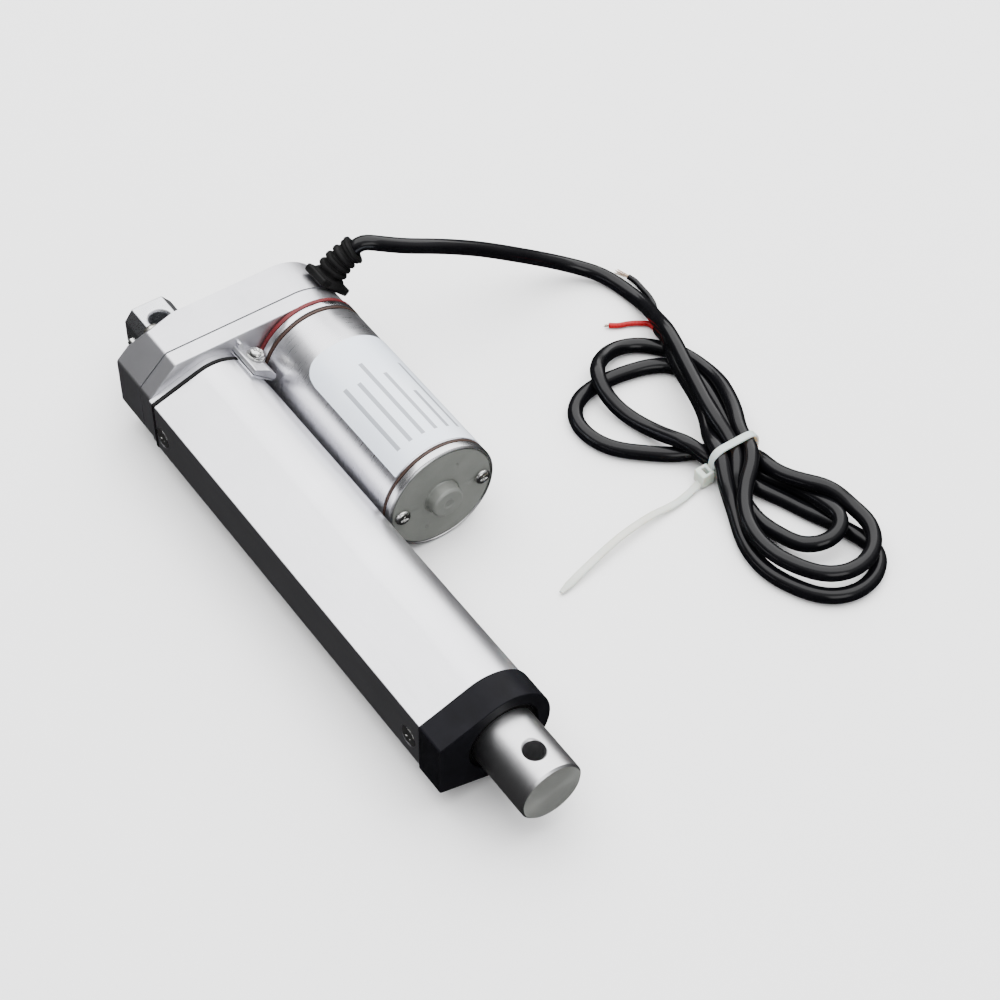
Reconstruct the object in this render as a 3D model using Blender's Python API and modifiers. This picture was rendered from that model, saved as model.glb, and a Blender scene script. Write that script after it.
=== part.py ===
"""Electric linear actuator: a push rod driven by a lead screw, geared from a motor beside it.

World frame in metres: +X towards the rod's end, +Y towards the motor, +Z up, and the floor at Z = 0.
Parts are laid out from the rod's axis, with X = 0 at the hole in the rod's end, under one empty.
"""

import math

import bmesh
import bpy
from mathutils import Vector

# Driving dimensions, in metres
GAP = 0.0003
OVERCUT = 0.002
ROD_AXIS_WORLD = (0.09955, -0.01602, 0.0187)

ROD_RADIUS = 0.0100
ROD_FRONT = 0.0087
ROD_REAR = -0.1500
ROD_BORE = 0.0082
ROD_BORE_FRONT = -0.0150
EYE_RADIUS = 0.0033
EYE_FLARE = 0.0006
EYE_TO_EYE = 0.1998
STROKE = 0.1000

CAP_FRONT = -0.0135
TUBE_FRONT = -0.02375
TUBE_REAR = -0.1663
TUBE_RADIUS = 0.0150
TUBE_FLAT_Y = -0.0210
TUBE_FLAT_HALF = 0.0090
CAP_MARGIN = 0.0006
BORE_RADIUS = 0.0129
CHANNEL_Y = -0.0188
CHANNEL_HALF = 0.0068
SIDE_SCREW_Z = -0.0015
SIDE_SCREW_X = {"side_screw_front": -0.0294, "side_screw_rear": -0.1628}

GEARBOX_FRONT = -0.1700
GEARBOX_SPLIT = -0.1759
GEARBOX_REAR = -0.1900
GEARBOX_HALF_HEIGHT = 0.01805
GEARBOX_LEFT_Y = -0.0204
GEARBOX_LEFT_HALF = 0.0087
GEARBOX_SLANT_Y = -0.0104
GEARBOX_WALL = 0.0025
FRONT_WALL_BACK = -0.1730
REAR_WALL_FRONT = -0.1875
CORNER_CUT = ((-0.1906, 0.0022, 0.0180), (-0.1869, -0.0103, 0.0180), (-0.1898, -0.0154, 0.0132))
HOUSING_SCREWS = ((-0.0070, 0.0126), (-0.0070, -0.0126), (0.0444, 0.0098), (0.0444, -0.0098))
SCREW_HOLE = 0.0017
BEARING_RADIUS = 0.0080
DOWEL_YZ = (-0.0139, 0.0121)

CLEVIS_REAR = -0.2078
NECK_RADIUS = 0.0060
CLEVIS_OUTLINE = ((0.0053, 0.00784), (0.0082, 0.0041))

MOTOR_Y = 0.0349
MOTOR_RADIUS = 0.0187
CAN_RADIUS = 0.01855
CAN_BORE = 0.0170
CAN_REAR = -0.1644
CAN_FRONT = -0.0986
MOTOR_FACE = -0.09455
MOTOR_BOSS = -0.0910
MOTOR_SCREW_OFFSET = 0.0142
LABEL_REAR = -0.1500
LABEL_FRONT = -0.0990
LABEL_ANGLES = (-20, 136)

PINION_TEETH = 10
IDLER_LARGE_TEETH = 24
IDLER_SMALL_TEETH = 12
SCREW_GEAR_TEETH = 24
MODULE = MOTOR_Y / ((PINION_TEETH + IDLER_LARGE_TEETH + IDLER_SMALL_TEETH + SCREW_GEAR_TEETH) / 2)
IDLER_Y = MODULE * (IDLER_SMALL_TEETH + SCREW_GEAR_TEETH) / 2
SMALL_MESH = (-0.1840, -0.1790)
LARGE_MESH = (-0.1784, -0.1744)

HUB_RADIUS = 0.0050
HUB_SHARE = 0.62
ARM_RADIUS = 0.0105
ARM_SHARE = 0.30
SHOE_RADIUS = 0.0125
SHOE_SHARE = 0.84
ARMATURE_BORE = 0.0019
ARMATURE_REACH = (-0.1500, -0.1180)

BOOT_X = -0.1794
BOOT_ANGLE = math.radians(44)
BOOT_FOOT = 0.0184
BOOT_TIP = 0.0340

CORD_RADIUS = 0.0025
WIRE_RADIUS = 0.0009
HANK_HEIGHT = 0.0104
TIE_X = 0.0328
TIE_WIDTH = 0.0044
TIE_THICKNESS = 0.0012
TIE_Y = (0.0997, 0.1179)
TIE_HEAD = (0.0056, 0.0051, 0.0004, 0.0060)

LARGE_STEPS = 48
MEDIUM_STEPS = 32
SMALL_STEPS = 16

# Cord routes, world metres, chosen by hand. The lead runs from the strain relief to the hank.
LEAD_ROUTE = (
    (-0.0798, 0.0443, 0.0433),
    (-0.0797, 0.0460, 0.0443),
    (-0.0791, 0.0480, 0.0446),
    (-0.0779, 0.0503, 0.0440),
    (-0.0763, 0.0532, 0.0428),
    (-0.0744, 0.0570, 0.0409),
    (-0.0722, 0.0632, 0.0376),
    (-0.0708, 0.0700, 0.0339),
    (-0.0699, 0.0848, 0.0255),
    (-0.0688, 0.0958, 0.0185),
    (-0.0674, 0.1072, 0.0113),
    (-0.0634, 0.1172, 0.0061),
    (-0.0561, 0.1250, 0.0034),
    (-0.0504, 0.1267, 0.0028),
    (-0.0410, 0.1279, 0.0029),
    (-0.0350, 0.1273, 0.0036),
    (-0.0315, 0.1270, 0.0040),
)
BLACK_WIRE_ROUTE = (
    (-0.0314, 0.1297, 0.0010),
    (-0.0330, 0.1312, 0.0010),
    (-0.0366, 0.1321, 0.0010),
    (-0.0408, 0.1329, 0.0010),
    (-0.0454, 0.1332, 0.0010),
    (-0.0493, 0.1333, 0.0010),
    (-0.0518, 0.1324, 0.0010),
)
RED_WIRE_ROUTE = (
    (-0.0314, 0.1240, 0.0010),
    (-0.0328, 0.1232, 0.0010),
    (-0.0346, 0.1197, 0.0010),
    (-0.0360, 0.1162, 0.0010),
    (-0.0377, 0.1138, 0.0010),
)
# Outline of the tied hank, seen from above: its two ends with the waist that the tie holds
HANK_OUTLINE = (
    (-0.0308, 0.1305),
    (-0.0308, 0.1230),
    (-0.0292, 0.1080),
    (-0.0240, 0.0940),
    (-0.0200, 0.0850),
    (-0.0120, 0.0772),
    (-0.0020, 0.0750),
    (0.0080, 0.0790),
    (0.0180, 0.0900),
    (0.0260, 0.0985),
    (0.0295, 0.1000),
    (0.0358, 0.1000),
    (0.0410, 0.0970),
    (0.0520, 0.0905),
    (0.0650, 0.0865),
    (0.0800, 0.0870),
    (0.0920, 0.0940),
    (0.0965, 0.1060),
    (0.0950, 0.1180),
    (0.0880, 0.1255),
    (0.0760, 0.1275),
    (0.0620, 0.1245),
    (0.0480, 0.1190),
    (0.0390, 0.1176),
    (0.0335, 0.1176),
    (0.0285, 0.1176),
    (0.0200, 0.1225),
    (0.0100, 0.1262),
    (-0.0020, 0.1265),
    (-0.0180, 0.1290),
)
TIE_TAIL = (
    (0.0336, 0.0972, 0.0022),
    (0.0346, 0.0890, 0.0012),
    (0.0358, 0.0740, 0.0012),
    (0.0376, 0.0610, 0.0012),
    (0.0404, 0.0470, 0.0012),
    (0.0433, 0.0352, 0.0012),
)

# Material name: colour, roughness, metallic
MATERIALS = {
    "anodised_aluminium": ((0.80, 0.80, 0.83), 0.38, 1.0),
    "cast_housing": ((0.72, 0.72, 0.75), 0.42, 1.0),
    "polished_rod": ((0.78, 0.79, 0.80), 0.18, 1.0),
    "zinc_steel": ((0.80, 0.80, 0.78), 0.25, 1.0),
    "machined_steel": ((0.56, 0.57, 0.58), 0.32, 1.0),
    "motor_can_steel": ((0.66, 0.66, 0.68), 0.28, 1.0),
    "grey_paint": ((0.30, 0.31, 0.29), 0.45, 0.0),
    "black_plastic": ((0.012, 0.012, 0.016), 0.35, 0.0),
    "black_rubber": ((0.015, 0.015, 0.015), 0.60, 0.0),
    "red_fibre": ((0.33, 0.03, 0.04), 0.55, 0.0),
    "brown_fibre": ((0.10, 0.05, 0.03), 0.60, 0.0),
    "white_nylon": ((0.72, 0.74, 0.68), 0.40, 0.0),
    "acetal": ((0.80, 0.79, 0.74), 0.40, 0.0),
    "label_paper": ((0.62, 0.70, 0.82), 0.50, 0.0),
    "circuit_board": ((0.02, 0.16, 0.06), 0.50, 0.0),
    "copper": ((0.75, 0.36, 0.20), 0.35, 1.0),
    "carbon": ((0.03, 0.03, 0.03), 0.70, 0.0),
    "ferrite": ((0.05, 0.05, 0.05), 0.65, 0.0),
    "brass": ((0.72, 0.55, 0.25), 0.30, 1.0),
    "red_insulation": ((0.50, 0.02, 0.03), 0.35, 0.0),
    "cord_jacket": ((0.012, 0.012, 0.014), 0.30, 0.0),
}


def clear_scene():
    for obj in list(bpy.data.objects):
        bpy.data.objects.remove(obj)


def make_materials():
    made = {}
    for name, (colour, roughness, metallic) in MATERIALS.items():
        material = bpy.data.materials.new(name)
        material.use_nodes = True
        shader = material.node_tree.nodes["Principled BSDF"]
        shader.inputs["Base Color"].default_value = (*colour, 1.0)
        shader.inputs["Roughness"].default_value = roughness
        shader.inputs["Metallic"].default_value = metallic
        material.diffuse_color = (*colour, 1.0)
        made[name] = material
    return made


def make_collection(name):
    collection = bpy.data.collections.new(name)
    bpy.context.scene.collection.children.link(collection)
    return collection


clear_scene()
materials = make_materials()
parts = make_collection("linear_actuator")
cutters = make_collection("cutters")

rod_axis = bpy.data.objects.new("rod_axis", None)
rod_axis.location = ROD_AXIS_WORLD
parts.objects.link(rod_axis)

TO_X = (0, math.pi / 2, 0)


def place(obj, location, rotation, material, parent=rod_axis, collection=None):
    """Link an object, give it its material and set it in its parent's frame."""
    (collection or parts).objects.link(obj)
    obj.parent = parent
    obj.location = location
    obj.rotation_euler = rotation
    if material:
        obj.data.materials.append(materials[material])
    return obj


def make_cutter(obj):
    """Turn a part into a hidden cutting guide."""
    for collection in list(obj.users_collection):
        collection.objects.unlink(obj)
    cutters.objects.link(obj)
    obj.hide_render = True
    obj.display_type = "WIRE"
    return obj


def boolean(obj, cutter, operation="DIFFERENCE"):
    modifier = obj.modifiers.new(operation.lower(), "BOOLEAN")
    modifier.operation = operation
    modifier.object = make_cutter(cutter)
    return obj


def turned(name, profile, material, location=(0, 0, 0), rotation=TO_X, steps=MEDIUM_STEPS, closed=False):
    """Turn a profile of (radius, height) points; it runs down its outer side, top to bottom."""
    mesh = bpy.data.meshes.new(name)
    edges = [(i, i + 1) for i in range(len(profile) - 1)]
    if closed:
        edges.append((len(profile) - 1, 0))
    mesh.from_pydata([(radius, 0, height) for radius, height in profile], edges, [])
    obj = place(bpy.data.objects.new(name, mesh), location, rotation, material)
    screw = obj.modifiers.new("turn", "SCREW")
    screw.axis = "Z"
    screw.steps = steps
    screw.render_steps = steps
    screw.use_merge_vertices = True
    screw.merge_threshold = 0.00001
    return obj


def cylinder(name, radius, low, high, material, y=0, z=0, steps=MEDIUM_STEPS):
    """A solid cylinder along X from low to high."""
    profile = [(0, high), (radius, high), (radius, low), (0, low)]
    return turned(name, profile, material, (0, y, z), TO_X, steps)


def ring(name, outer, inner, low, high, material, y=0, z=0, steps=MEDIUM_STEPS):
    """A flat ring or sleeve along X from low to high."""
    profile = [(outer, high), (outer, low), (inner, low), (inner, high)]
    return turned(name, profile, material, (0, y, z), TO_X, steps, closed=True)


def flat_curve(name, outlines, thickness):
    """A closed 2D curve with holes, extruded to its thickness about its own plane."""
    curve = bpy.data.curves.new(name, "CURVE")
    curve.dimensions = "2D"
    curve.fill_mode = "BOTH"
    curve.extrude = thickness / 2
    for outline in outlines:
        spline = curve.splines.new("POLY")
        spline.points.add(len(outline) - 1)
        for point, (u, v) in zip(spline.points, outline):
            point.co = (u, v, 0, 1)
        spline.use_cyclic_u = True
    return curve


def as_mesh(obj):
    """Replace a curve object with a welded mesh, so that it can be cut and joined."""
    bpy.context.view_layer.update()
    evaluated = obj.evaluated_get(bpy.context.evaluated_depsgraph_get())
    mesh = bpy.data.meshes.new_from_object(evaluated)
    work = bmesh.new()
    work.from_mesh(mesh)
    bmesh.ops.remove_doubles(work, verts=work.verts, dist=0.000002)
    bmesh.ops.recalc_face_normals(work, faces=work.faces)
    work.to_mesh(mesh)
    work.free()
    name = obj.name
    solid = bpy.data.objects.new(name + "_solid", mesh)
    parts.objects.link(solid)
    solid.matrix_world = obj.matrix_world
    bpy.data.objects.remove(obj)
    solid.name = name
    return solid


def prism(name, outlines, low, high, material, y=0, z=0, solid=False):
    """Outlines of (y, z) points, the first one outside and the rest holes, extruded along X."""
    turned_outlines = [[(-pz, py) for py, pz in outline] for outline in outlines]
    curve = flat_curve(name, turned_outlines, high - low)
    obj = place(bpy.data.objects.new(name, curve), ((low + high) / 2, y, z), TO_X, material)
    return as_mesh(obj) if solid else obj


def box(name, low, high, material, bevel=0, parent=rod_axis):
    """A box between two corners, with rounded edges if a bevel is given."""
    mesh = bpy.data.meshes.new(name)
    work = bmesh.new()
    bmesh.ops.create_cube(work, size=1)
    size = [b - a for a, b in zip(low, high)]
    bmesh.ops.scale(work, verts=work.verts, vec=size)
    work.to_mesh(mesh)
    work.free()
    centre = [(a + b) / 2 for a, b in zip(low, high)]
    obj = place(bpy.data.objects.new(name, mesh), centre, (0, 0, 0), material, parent)
    if bevel:
        rounding = obj.modifiers.new("rounding", "BEVEL")
        rounding.width = bevel
        rounding.segments = 2
    return obj


def arc(radius, start, end, steps, centre=(0, 0)):
    """Points on a circle between two angles in degrees."""
    points = []
    for i in range(steps + 1):
        angle = math.radians(start + (end - start) * i / steps)
        points.append((centre[0] + radius * math.cos(angle), centre[1] + radius * math.sin(angle)))
    return points


def circle(radius, steps=MEDIUM_STEPS, centre=(0, 0)):
    return arc(radius, 0, 360 * (steps - 1) / steps, steps - 1, centre)


def tube_outline(radius, flat_y, flat_half, steps=36):
    """The tube's section: a circle whose tangents run out to a narrow flat side."""
    reach = math.hypot(flat_y, flat_half)
    corner_angle = math.degrees(math.atan2(flat_half, flat_y))
    tangent_angle = corner_angle - math.degrees(math.acos(radius / reach))
    return [(flat_y, -flat_half)] + arc(radius, -tangent_angle, tangent_angle, steps) + [(flat_y, flat_half)]


def channel_outline(radius, channel_y, channel_half, steps=32):
    """The tube's bore with the square channel beside it."""
    angle = math.degrees(math.atan2(channel_half, -math.sqrt(radius ** 2 - channel_half ** 2)))
    return [(channel_y, -channel_half)] + arc(radius, -angle, angle, steps) + [(channel_y, channel_half)]


def gearbox_outline(inset=0.0, steps=20):
    """The gearbox's section: a slanted left end, flat top and bottom, and a round motor end."""
    half = GEARBOX_HALF_HEIGHT - inset
    slant = inset * 0.42
    left = [
        (GEARBOX_SLANT_Y + slant, half),
        (GEARBOX_LEFT_Y + inset, GEARBOX_LEFT_HALF - slant),
        (GEARBOX_LEFT_Y + inset, -GEARBOX_LEFT_HALF + slant),
        (GEARBOX_SLANT_Y + slant, -half),
    ]
    return left + arc(half, -90, 90, steps, (MOTOR_Y, 0))


def drill(obj, name, radius, low, high, y, z, steps=SMALL_STEPS):
    """Cut a round hole along X."""
    return boolean(obj, cylinder(name, radius, low, high, None, y, z, steps))


def eye_cutter(name, x, half_height):
    """A vertical hole's cutter, flared at both mouths."""
    flare = EYE_RADIUS + EYE_FLARE
    over = half_height + 0.002
    profile = [
        (0, over),
        (flare + 0.002, over),
        (flare, half_height),
        (EYE_RADIUS, half_height - EYE_FLARE),
        (EYE_RADIUS, EYE_FLARE - half_height),
        (flare, -half_height),
        (flare + 0.002, -over),
        (0, -over),
    ]
    return turned(name, profile, None, (x, 0, 0), (0, 0, 0), MEDIUM_STEPS)


def pan_head(name, radius, height, shank, length, location, rotation, recess=True):
    """A pan-head screw along its local Z, its head standing on the plane Z = 0."""
    profile = [
        (0, height),
        (radius * 0.62, height),
        (radius * 0.92, height * 0.72),
        (radius, height * 0.30),
        (radius, 0.00005),
        (shank, 0.00005),
        (shank, -length),
        (0, -length),
    ]
    screw = turned(name, profile, "zinc_steel", location, rotation, SMALL_STEPS)
    if recess:
        for index in range(2):
            size = (radius * 0.55, radius * 0.11, height)
            if index:
                size = (size[1], size[0], size[2])
            slot = box(f"{name}_slot_{index}", [-s for s in size], size, None, 0, screw)
            slot.location = (0, 0, height * 1.45)
            boolean(screw, slot)
    return screw


def gear_outline(teeth, backlash=0.06, phase=0.0):
    """A spur gear's outline with straight-sided teeth, thinned for running clearance."""
    pitch = 2 * math.pi / teeth
    pitch_radius = MODULE * teeth / 2
    tip = pitch_radius + MODULE * 0.88
    root = pitch_radius - MODULE * 1.15
    half_root = pitch * (0.36 - backlash)
    half_tip = pitch * (0.16 - backlash / 2)
    points = []
    for tooth in range(teeth):
        centre = phase + tooth * pitch
        for radius, offset in ((root, -half_root), (tip, -half_tip), (tip, half_tip), (root, half_root)):
            angle = centre + offset
            points.append((radius * math.cos(angle), radius * math.sin(angle)))
    return points


# Tube, cap, rod and drive screw

def build_tube():
    outer = tube_outline(TUBE_RADIUS, TUBE_FLAT_Y, TUBE_FLAT_HALF)
    bore = channel_outline(BORE_RADIUS, CHANNEL_Y, CHANNEL_HALF)
    tube = prism("outer_tube", (outer, bore), TUBE_REAR, TUBE_FRONT - GAP, "anodised_aluminium", solid=True)
    for name, x in SIDE_SCREW_X.items():
        hole = turned(name + "_hole", [(0, 0.004), (0.0017, 0.004), (0.0017, -0.004), (0, -0.004)], None,
                      (x, TUBE_FLAT_Y, SIDE_SCREW_Z), (math.pi / 2, 0, 0), SMALL_STEPS)
        boolean(tube, hole)
        pan_head(name, 0.0024, 0.0006, 0.0014, 0.0045, (x, TUBE_FLAT_Y - 0.00002, SIDE_SCREW_Z),
                 (math.pi / 2, 0, 0))


def build_cap():
    outer = tube_outline(TUBE_RADIUS + CAP_MARGIN, TUBE_FLAT_Y - CAP_MARGIN / 2, TUBE_FLAT_HALF + CAP_MARGIN)
    prism("front_cap", (outer, circle(0.0124, LARGE_STEPS)), TUBE_FRONT, CAP_FRONT, "black_plastic")
    seal_front = CAP_FRONT - 0.0004
    profile = [
        (0.0121, seal_front),
        (0.0121, TUBE_FRONT),
        (0.01025, TUBE_FRONT),
        (0.01025, seal_front - 0.0008),
        (0.0108, seal_front),
    ]
    turned("rod_wiper_seal", profile, "black_rubber", steps=LARGE_STEPS, closed=True)
    ring("guide_bush", 0.0126, 0.0103, -0.0460, TUBE_FRONT - GAP, "acetal", steps=LARGE_STEPS)


def build_rod():
    edge = 0.0006
    profile = [
        (0, ROD_FRONT),
        (ROD_RADIUS - edge, ROD_FRONT),
        (ROD_RADIUS, ROD_FRONT - edge),
        (ROD_RADIUS, ROD_REAR),
        (ROD_BORE, ROD_REAR),
        (ROD_BORE, ROD_BORE_FRONT),
        (0, ROD_BORE_FRONT),
    ]
    rod = turned("push_rod", profile, "polished_rod", steps=LARGE_STEPS)
    boolean(rod, eye_cutter("rod_eye", 0, ROD_RADIUS))


def build_screw_drive():
    thread = 0.0050
    journal = 0.0040
    shoulder = TUBE_REAR - GAP
    front = -0.0270
    profile = [
        (0, front),
        (thread - 0.0008, front),
        (thread, front - 0.0008),
        (thread, shoulder),
        (journal, shoulder),
        (journal, -0.1846),
        (0, -0.1846),
    ]
    turned("lead_screw", profile, "machined_steel", steps=24)
    bore = thread + GAP
    nut = [
        (0.0080, ROD_REAR + 0.0080),
        (0.0080, ROD_REAR - GAP),
        (0.0125, ROD_REAR - GAP),
        (0.0125, -0.1635),
        (bore, -0.1635),
        (bore, ROD_REAR + 0.0080),
    ]
    turned("drive_nut", nut, "acetal", closed=True)
    ring("screw_bearing", BEARING_RADIUS, journal + GAP, FRONT_WALL_BACK, -0.1669, "zinc_steel")
    outline = gear_outline(SCREW_GEAR_TEETH)
    prism("screw_gear", (outline, circle(journal + GAP, 24)), *SMALL_MESH, "machined_steel")


def build_limit_switches():
    box("limit_switch_board", (-0.1550, -0.0184, -0.0055), (-0.0480, -0.0168, 0.0055), "circuit_board")
    for name, rear in (("limit_switch_rear", -0.1520), ("limit_switch_front", -0.0640)):
        box(name, (rear, -0.0165, -0.0030), (rear + 0.0128, -0.0132, 0.0030), "black_plastic", 0.0004)


# Gearbox

def corner_cutter(name, sign):
    """A block standing behind the plane that trims the rear left corner of the housing."""
    a, b, c = (Vector((x, y, sign * z)) for x, y, z in CORNER_CUT)
    normal = (b - a).cross(c - a).normalized()
    if normal.x > 0:
        normal.negate()
    size = 0.02
    cutter = box(name, (-size, -size, -size), (size, size, size), None)
    cutter.location = a + normal * size
    cutter.rotation_mode = "QUATERNION"
    cutter.rotation_quaternion = normal.to_track_quat("Z", "Y")
    return cutter


def build_rear_housing():
    housing = prism("gearbox_rear_housing", (gearbox_outline(),), GEARBOX_REAR, GEARBOX_SPLIT - GAP,
                    "cast_housing", solid=True)
    pocket = prism("rear_pocket", (gearbox_outline(GEARBOX_WALL),), REAR_WALL_FRONT, GEARBOX_SPLIT + 0.002,
                   None, solid=True)
    boolean(housing, pocket)
    rear = GEARBOX_REAR - OVERCUT
    inside = REAR_WALL_FRONT + OVERCUT
    drill(housing, "clevis_neck_hole", NECK_RADIUS + GAP, rear, inside, 0, 0, 24)
    for index, (y, z) in enumerate(HOUSING_SCREWS):
        drill(housing, f"rear_screw_hole_{index}", SCREW_HOLE, rear, inside, y, z)
    drill(housing, "dowel_hole", 0.0014, GEARBOX_REAR - 0.004, GEARBOX_REAR + 0.0018, *DOWEL_YZ)
    boolean(housing, corner_cutter("top_corner", 1))
    boolean(housing, corner_cutter("bottom_corner", -1))


def build_front_housing():
    housing = prism("gearbox_front_housing", (gearbox_outline(),), GEARBOX_SPLIT, GEARBOX_FRONT,
                    "cast_housing", solid=True)
    pocket = prism("front_pocket", (gearbox_outline(GEARBOX_WALL),), GEARBOX_SPLIT - 0.002, FRONT_WALL_BACK,
                   None, solid=True)
    boolean(housing, pocket)
    back = FRONT_WALL_BACK - OVERCUT
    front = GEARBOX_FRONT + OVERCUT
    drill(housing, "bearing_seat", BEARING_RADIUS + GAP, back, front, 0, 0, MEDIUM_STEPS)
    drill(housing, "motor_shaft_hole", 0.0035, back, front, MOTOR_Y, 0)
    for index, (y, z) in enumerate(HOUSING_SCREWS):
        drill(housing, f"front_screw_hole_{index}", SCREW_HOLE, back, -0.1712, y, z)
    lug_section = (
        (0.0089, 0.0127),
        (0.0090, 0.0136),
        (0.0100, 0.0145),
        (0.0147, 0.0117),
        (0.0166, 0.0089),
        (0.0165, 0.0075),
        (0.0152, 0.0066),
        (0.0125, 0.0095),
    )
    lug = prism("clamp_lug", (lug_section,), GEARBOX_FRONT - 0.001, -0.1575, None, solid=True)
    boolean(housing, lug, "UNION")
    rib = box("lug_rib", (GEARBOX_FRONT - 0.001, 0.0104, 0.0125), (-0.1678, 0.0118, 0.0166), None)
    boolean(housing, rib, "UNION")
    lug_normal = math.atan2(0.0047, 0.0028) - math.pi / 2
    drill_axis = (lug_normal, 0, 0)
    seat = (-0.1644, 0.0136, 0.01236)
    hole = turned("clamp_screw_hole", [(0, 0.004), (0.0017, 0.004), (0.0017, -0.0022), (0, -0.0022)], None,
                  seat, drill_axis, SMALL_STEPS)
    boolean(housing, hole)
    outward = Vector((0, -math.sin(lug_normal), math.cos(lug_normal)))
    washer_base = Vector(seat) + outward * 0.0001
    washer = [(0.0030, 0.0006), (0.0030, 0.0), (0.0018, 0.0), (0.0018, 0.0006)]
    turned("clamp_washer", washer, "zinc_steel", washer_base, drill_axis, 20, closed=True)
    pan_head("clamp_screw", 0.0027, 0.0018, 0.0013, 0.0022, washer_base + outward * 0.0007, drill_axis)


def build_gearbox_hardware():
    for index, (y, z) in enumerate(HOUSING_SCREWS, start=1):
        pan_head(f"housing_screw_{index}", 0.0028, 0.0022, 0.0014, 0.0182,
                 (GEARBOX_REAR - 0.00005, y, z), (0, -math.pi / 2, 0))
    cylinder("housing_dowel", 0.0011, GEARBOX_REAR - 0.0011, GEARBOX_REAR + 0.0012, "zinc_steel",
             *DOWEL_YZ, SMALL_STEPS)
    gasket = tube_outline(TUBE_RADIUS + 0.0002, TUBE_FLAT_Y, TUBE_FLAT_HALF)
    opening = circle(BEARING_RADIUS + 0.0004)
    prism("tube_gasket", (gasket, opening), GEARBOX_FRONT + GAP, TUBE_REAR - GAP, "black_rubber")


def build_clevis():
    (top_y, top_z), (side_y, side_z) = CLEVIS_OUTLINE
    outline = [
        (top_y, top_z), (-top_y, top_z), (-side_y, side_z), (-side_y, -side_z),
        (-top_y, -top_z), (top_y, -top_z), (side_y, -side_z), (side_y, side_z),
    ]
    clevis = prism("rear_clevis", (outline,), CLEVIS_REAR, GEARBOX_REAR - GAP, "anodised_aluminium",
                   solid=True)
    neck = [
        (0, -0.1853),
        (0.0085, -0.1853),
        (0.0085, REAR_WALL_FRONT + GAP),
        (NECK_RADIUS, REAR_WALL_FRONT + GAP),
        (NECK_RADIUS, GEARBOX_REAR - 0.001),
        (0, GEARBOX_REAR - 0.001),
    ]
    boolean(clevis, turned("clevis_neck", neck, None, steps=24), "UNION")
    boolean(clevis, eye_cutter("clevis_eye", -EYE_TO_EYE, top_z))


# Gear train

def build_gears():
    bore = 0.0018
    idler_phase = math.pi / IDLER_SMALL_TEETH
    small = gear_outline(IDLER_SMALL_TEETH, phase=idler_phase)
    prism("idler_small_gear", (small, circle(bore, 16)), *SMALL_MESH, "machined_steel", IDLER_Y)
    large = gear_outline(IDLER_LARGE_TEETH)
    prism("idler_large_gear", (large, circle(bore, 16)), *LARGE_MESH, "acetal", IDLER_Y)
    cylinder("idler_axle", 0.0015, REAR_WALL_FRONT + GAP, FRONT_WALL_BACK - GAP, "zinc_steel", IDLER_Y,
             steps=SMALL_STEPS)
    pinion_phase = math.pi / PINION_TEETH
    pinion = gear_outline(PINION_TEETH, phase=pinion_phase)
    prism("motor_pinion", (pinion, circle(0.0019, 16)), -0.1786, -0.1742, "brass", MOTOR_Y)


# Motor

def build_motor_case():
    ring("motor_gasket", MOTOR_RADIUS, 0.0080, -0.1697, -0.1684, "red_fibre", MOTOR_Y, steps=LARGE_STEPS)
    flange = [
        (MOTOR_RADIUS - 0.0003, -0.1659),
        (MOTOR_RADIUS, -0.1662),
        (MOTOR_RADIUS, -0.1678),
        (MOTOR_RADIUS - 0.0003, -0.1681),
        (0.0022, -0.1681),
        (0.0022, -0.1659),
    ]
    turned("motor_flange", flange, "zinc_steel", (0, MOTOR_Y, 0), steps=LARGE_STEPS, closed=True)
    ring("rear_insulating_ring", MOTOR_RADIUS - 0.0001, CAN_BORE, -0.1656, -0.1647, "brown_fibre", MOTOR_Y,
         steps=LARGE_STEPS)
    ring("motor_can", CAN_RADIUS, CAN_BORE, CAN_REAR, CAN_FRONT, "motor_can_steel", MOTOR_Y,
         steps=LARGE_STEPS)
    ring("front_insulating_ring", MOTOR_RADIUS - 0.0001, CAN_BORE, -0.0983, -0.0975, "brown_fibre", MOTOR_Y,
         steps=LARGE_STEPS)
    rim = 0.0008
    boss = 0.0054
    cap = [
        (0, MOTOR_BOSS),
        (boss - 0.0005, MOTOR_BOSS),
        (boss, MOTOR_BOSS - 0.0005),
        (boss, MOTOR_FACE),
        (MOTOR_RADIUS - rim, MOTOR_FACE),
        (MOTOR_RADIUS, MOTOR_FACE - rim),
        (MOTOR_RADIUS, -0.0972),
        (0, -0.0972),
    ]
    end_cap = turned("motor_end_cap", cap, "grey_paint", (0, MOTOR_Y, 0), steps=LARGE_STEPS)
    for index, side in enumerate((-1, 1), start=1):
        y = MOTOR_Y + side * MOTOR_SCREW_OFFSET
        drill(end_cap, f"motor_screw_hole_{index}", 0.0015, -0.0990, MOTOR_FACE + 0.002, y, 0)
        pan_head(f"motor_screw_{index}", 0.0026, 0.0015, 0.0012, 0.0025, (MOTOR_FACE + 0.00005, y, 0), TO_X)


def shell_outline(inner, outer, start, end, steps):
    return arc(outer, start, end, steps) + arc(inner, end, start, steps)


def build_label():
    start, end = LABEL_ANGLES
    inner = CAN_RADIUS + 0.00007
    outline = shell_outline(inner, inner + 0.00012, start, end, 40)
    prism("motor_label", (outline,), LABEL_REAR, LABEL_FRONT, "label_paper", MOTOR_Y)


def on_circle(radius, angle):
    """The point at an angle in degrees on a circle about the origin."""
    return (radius * math.cos(math.radians(angle)), radius * math.sin(math.radians(angle)))


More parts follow.
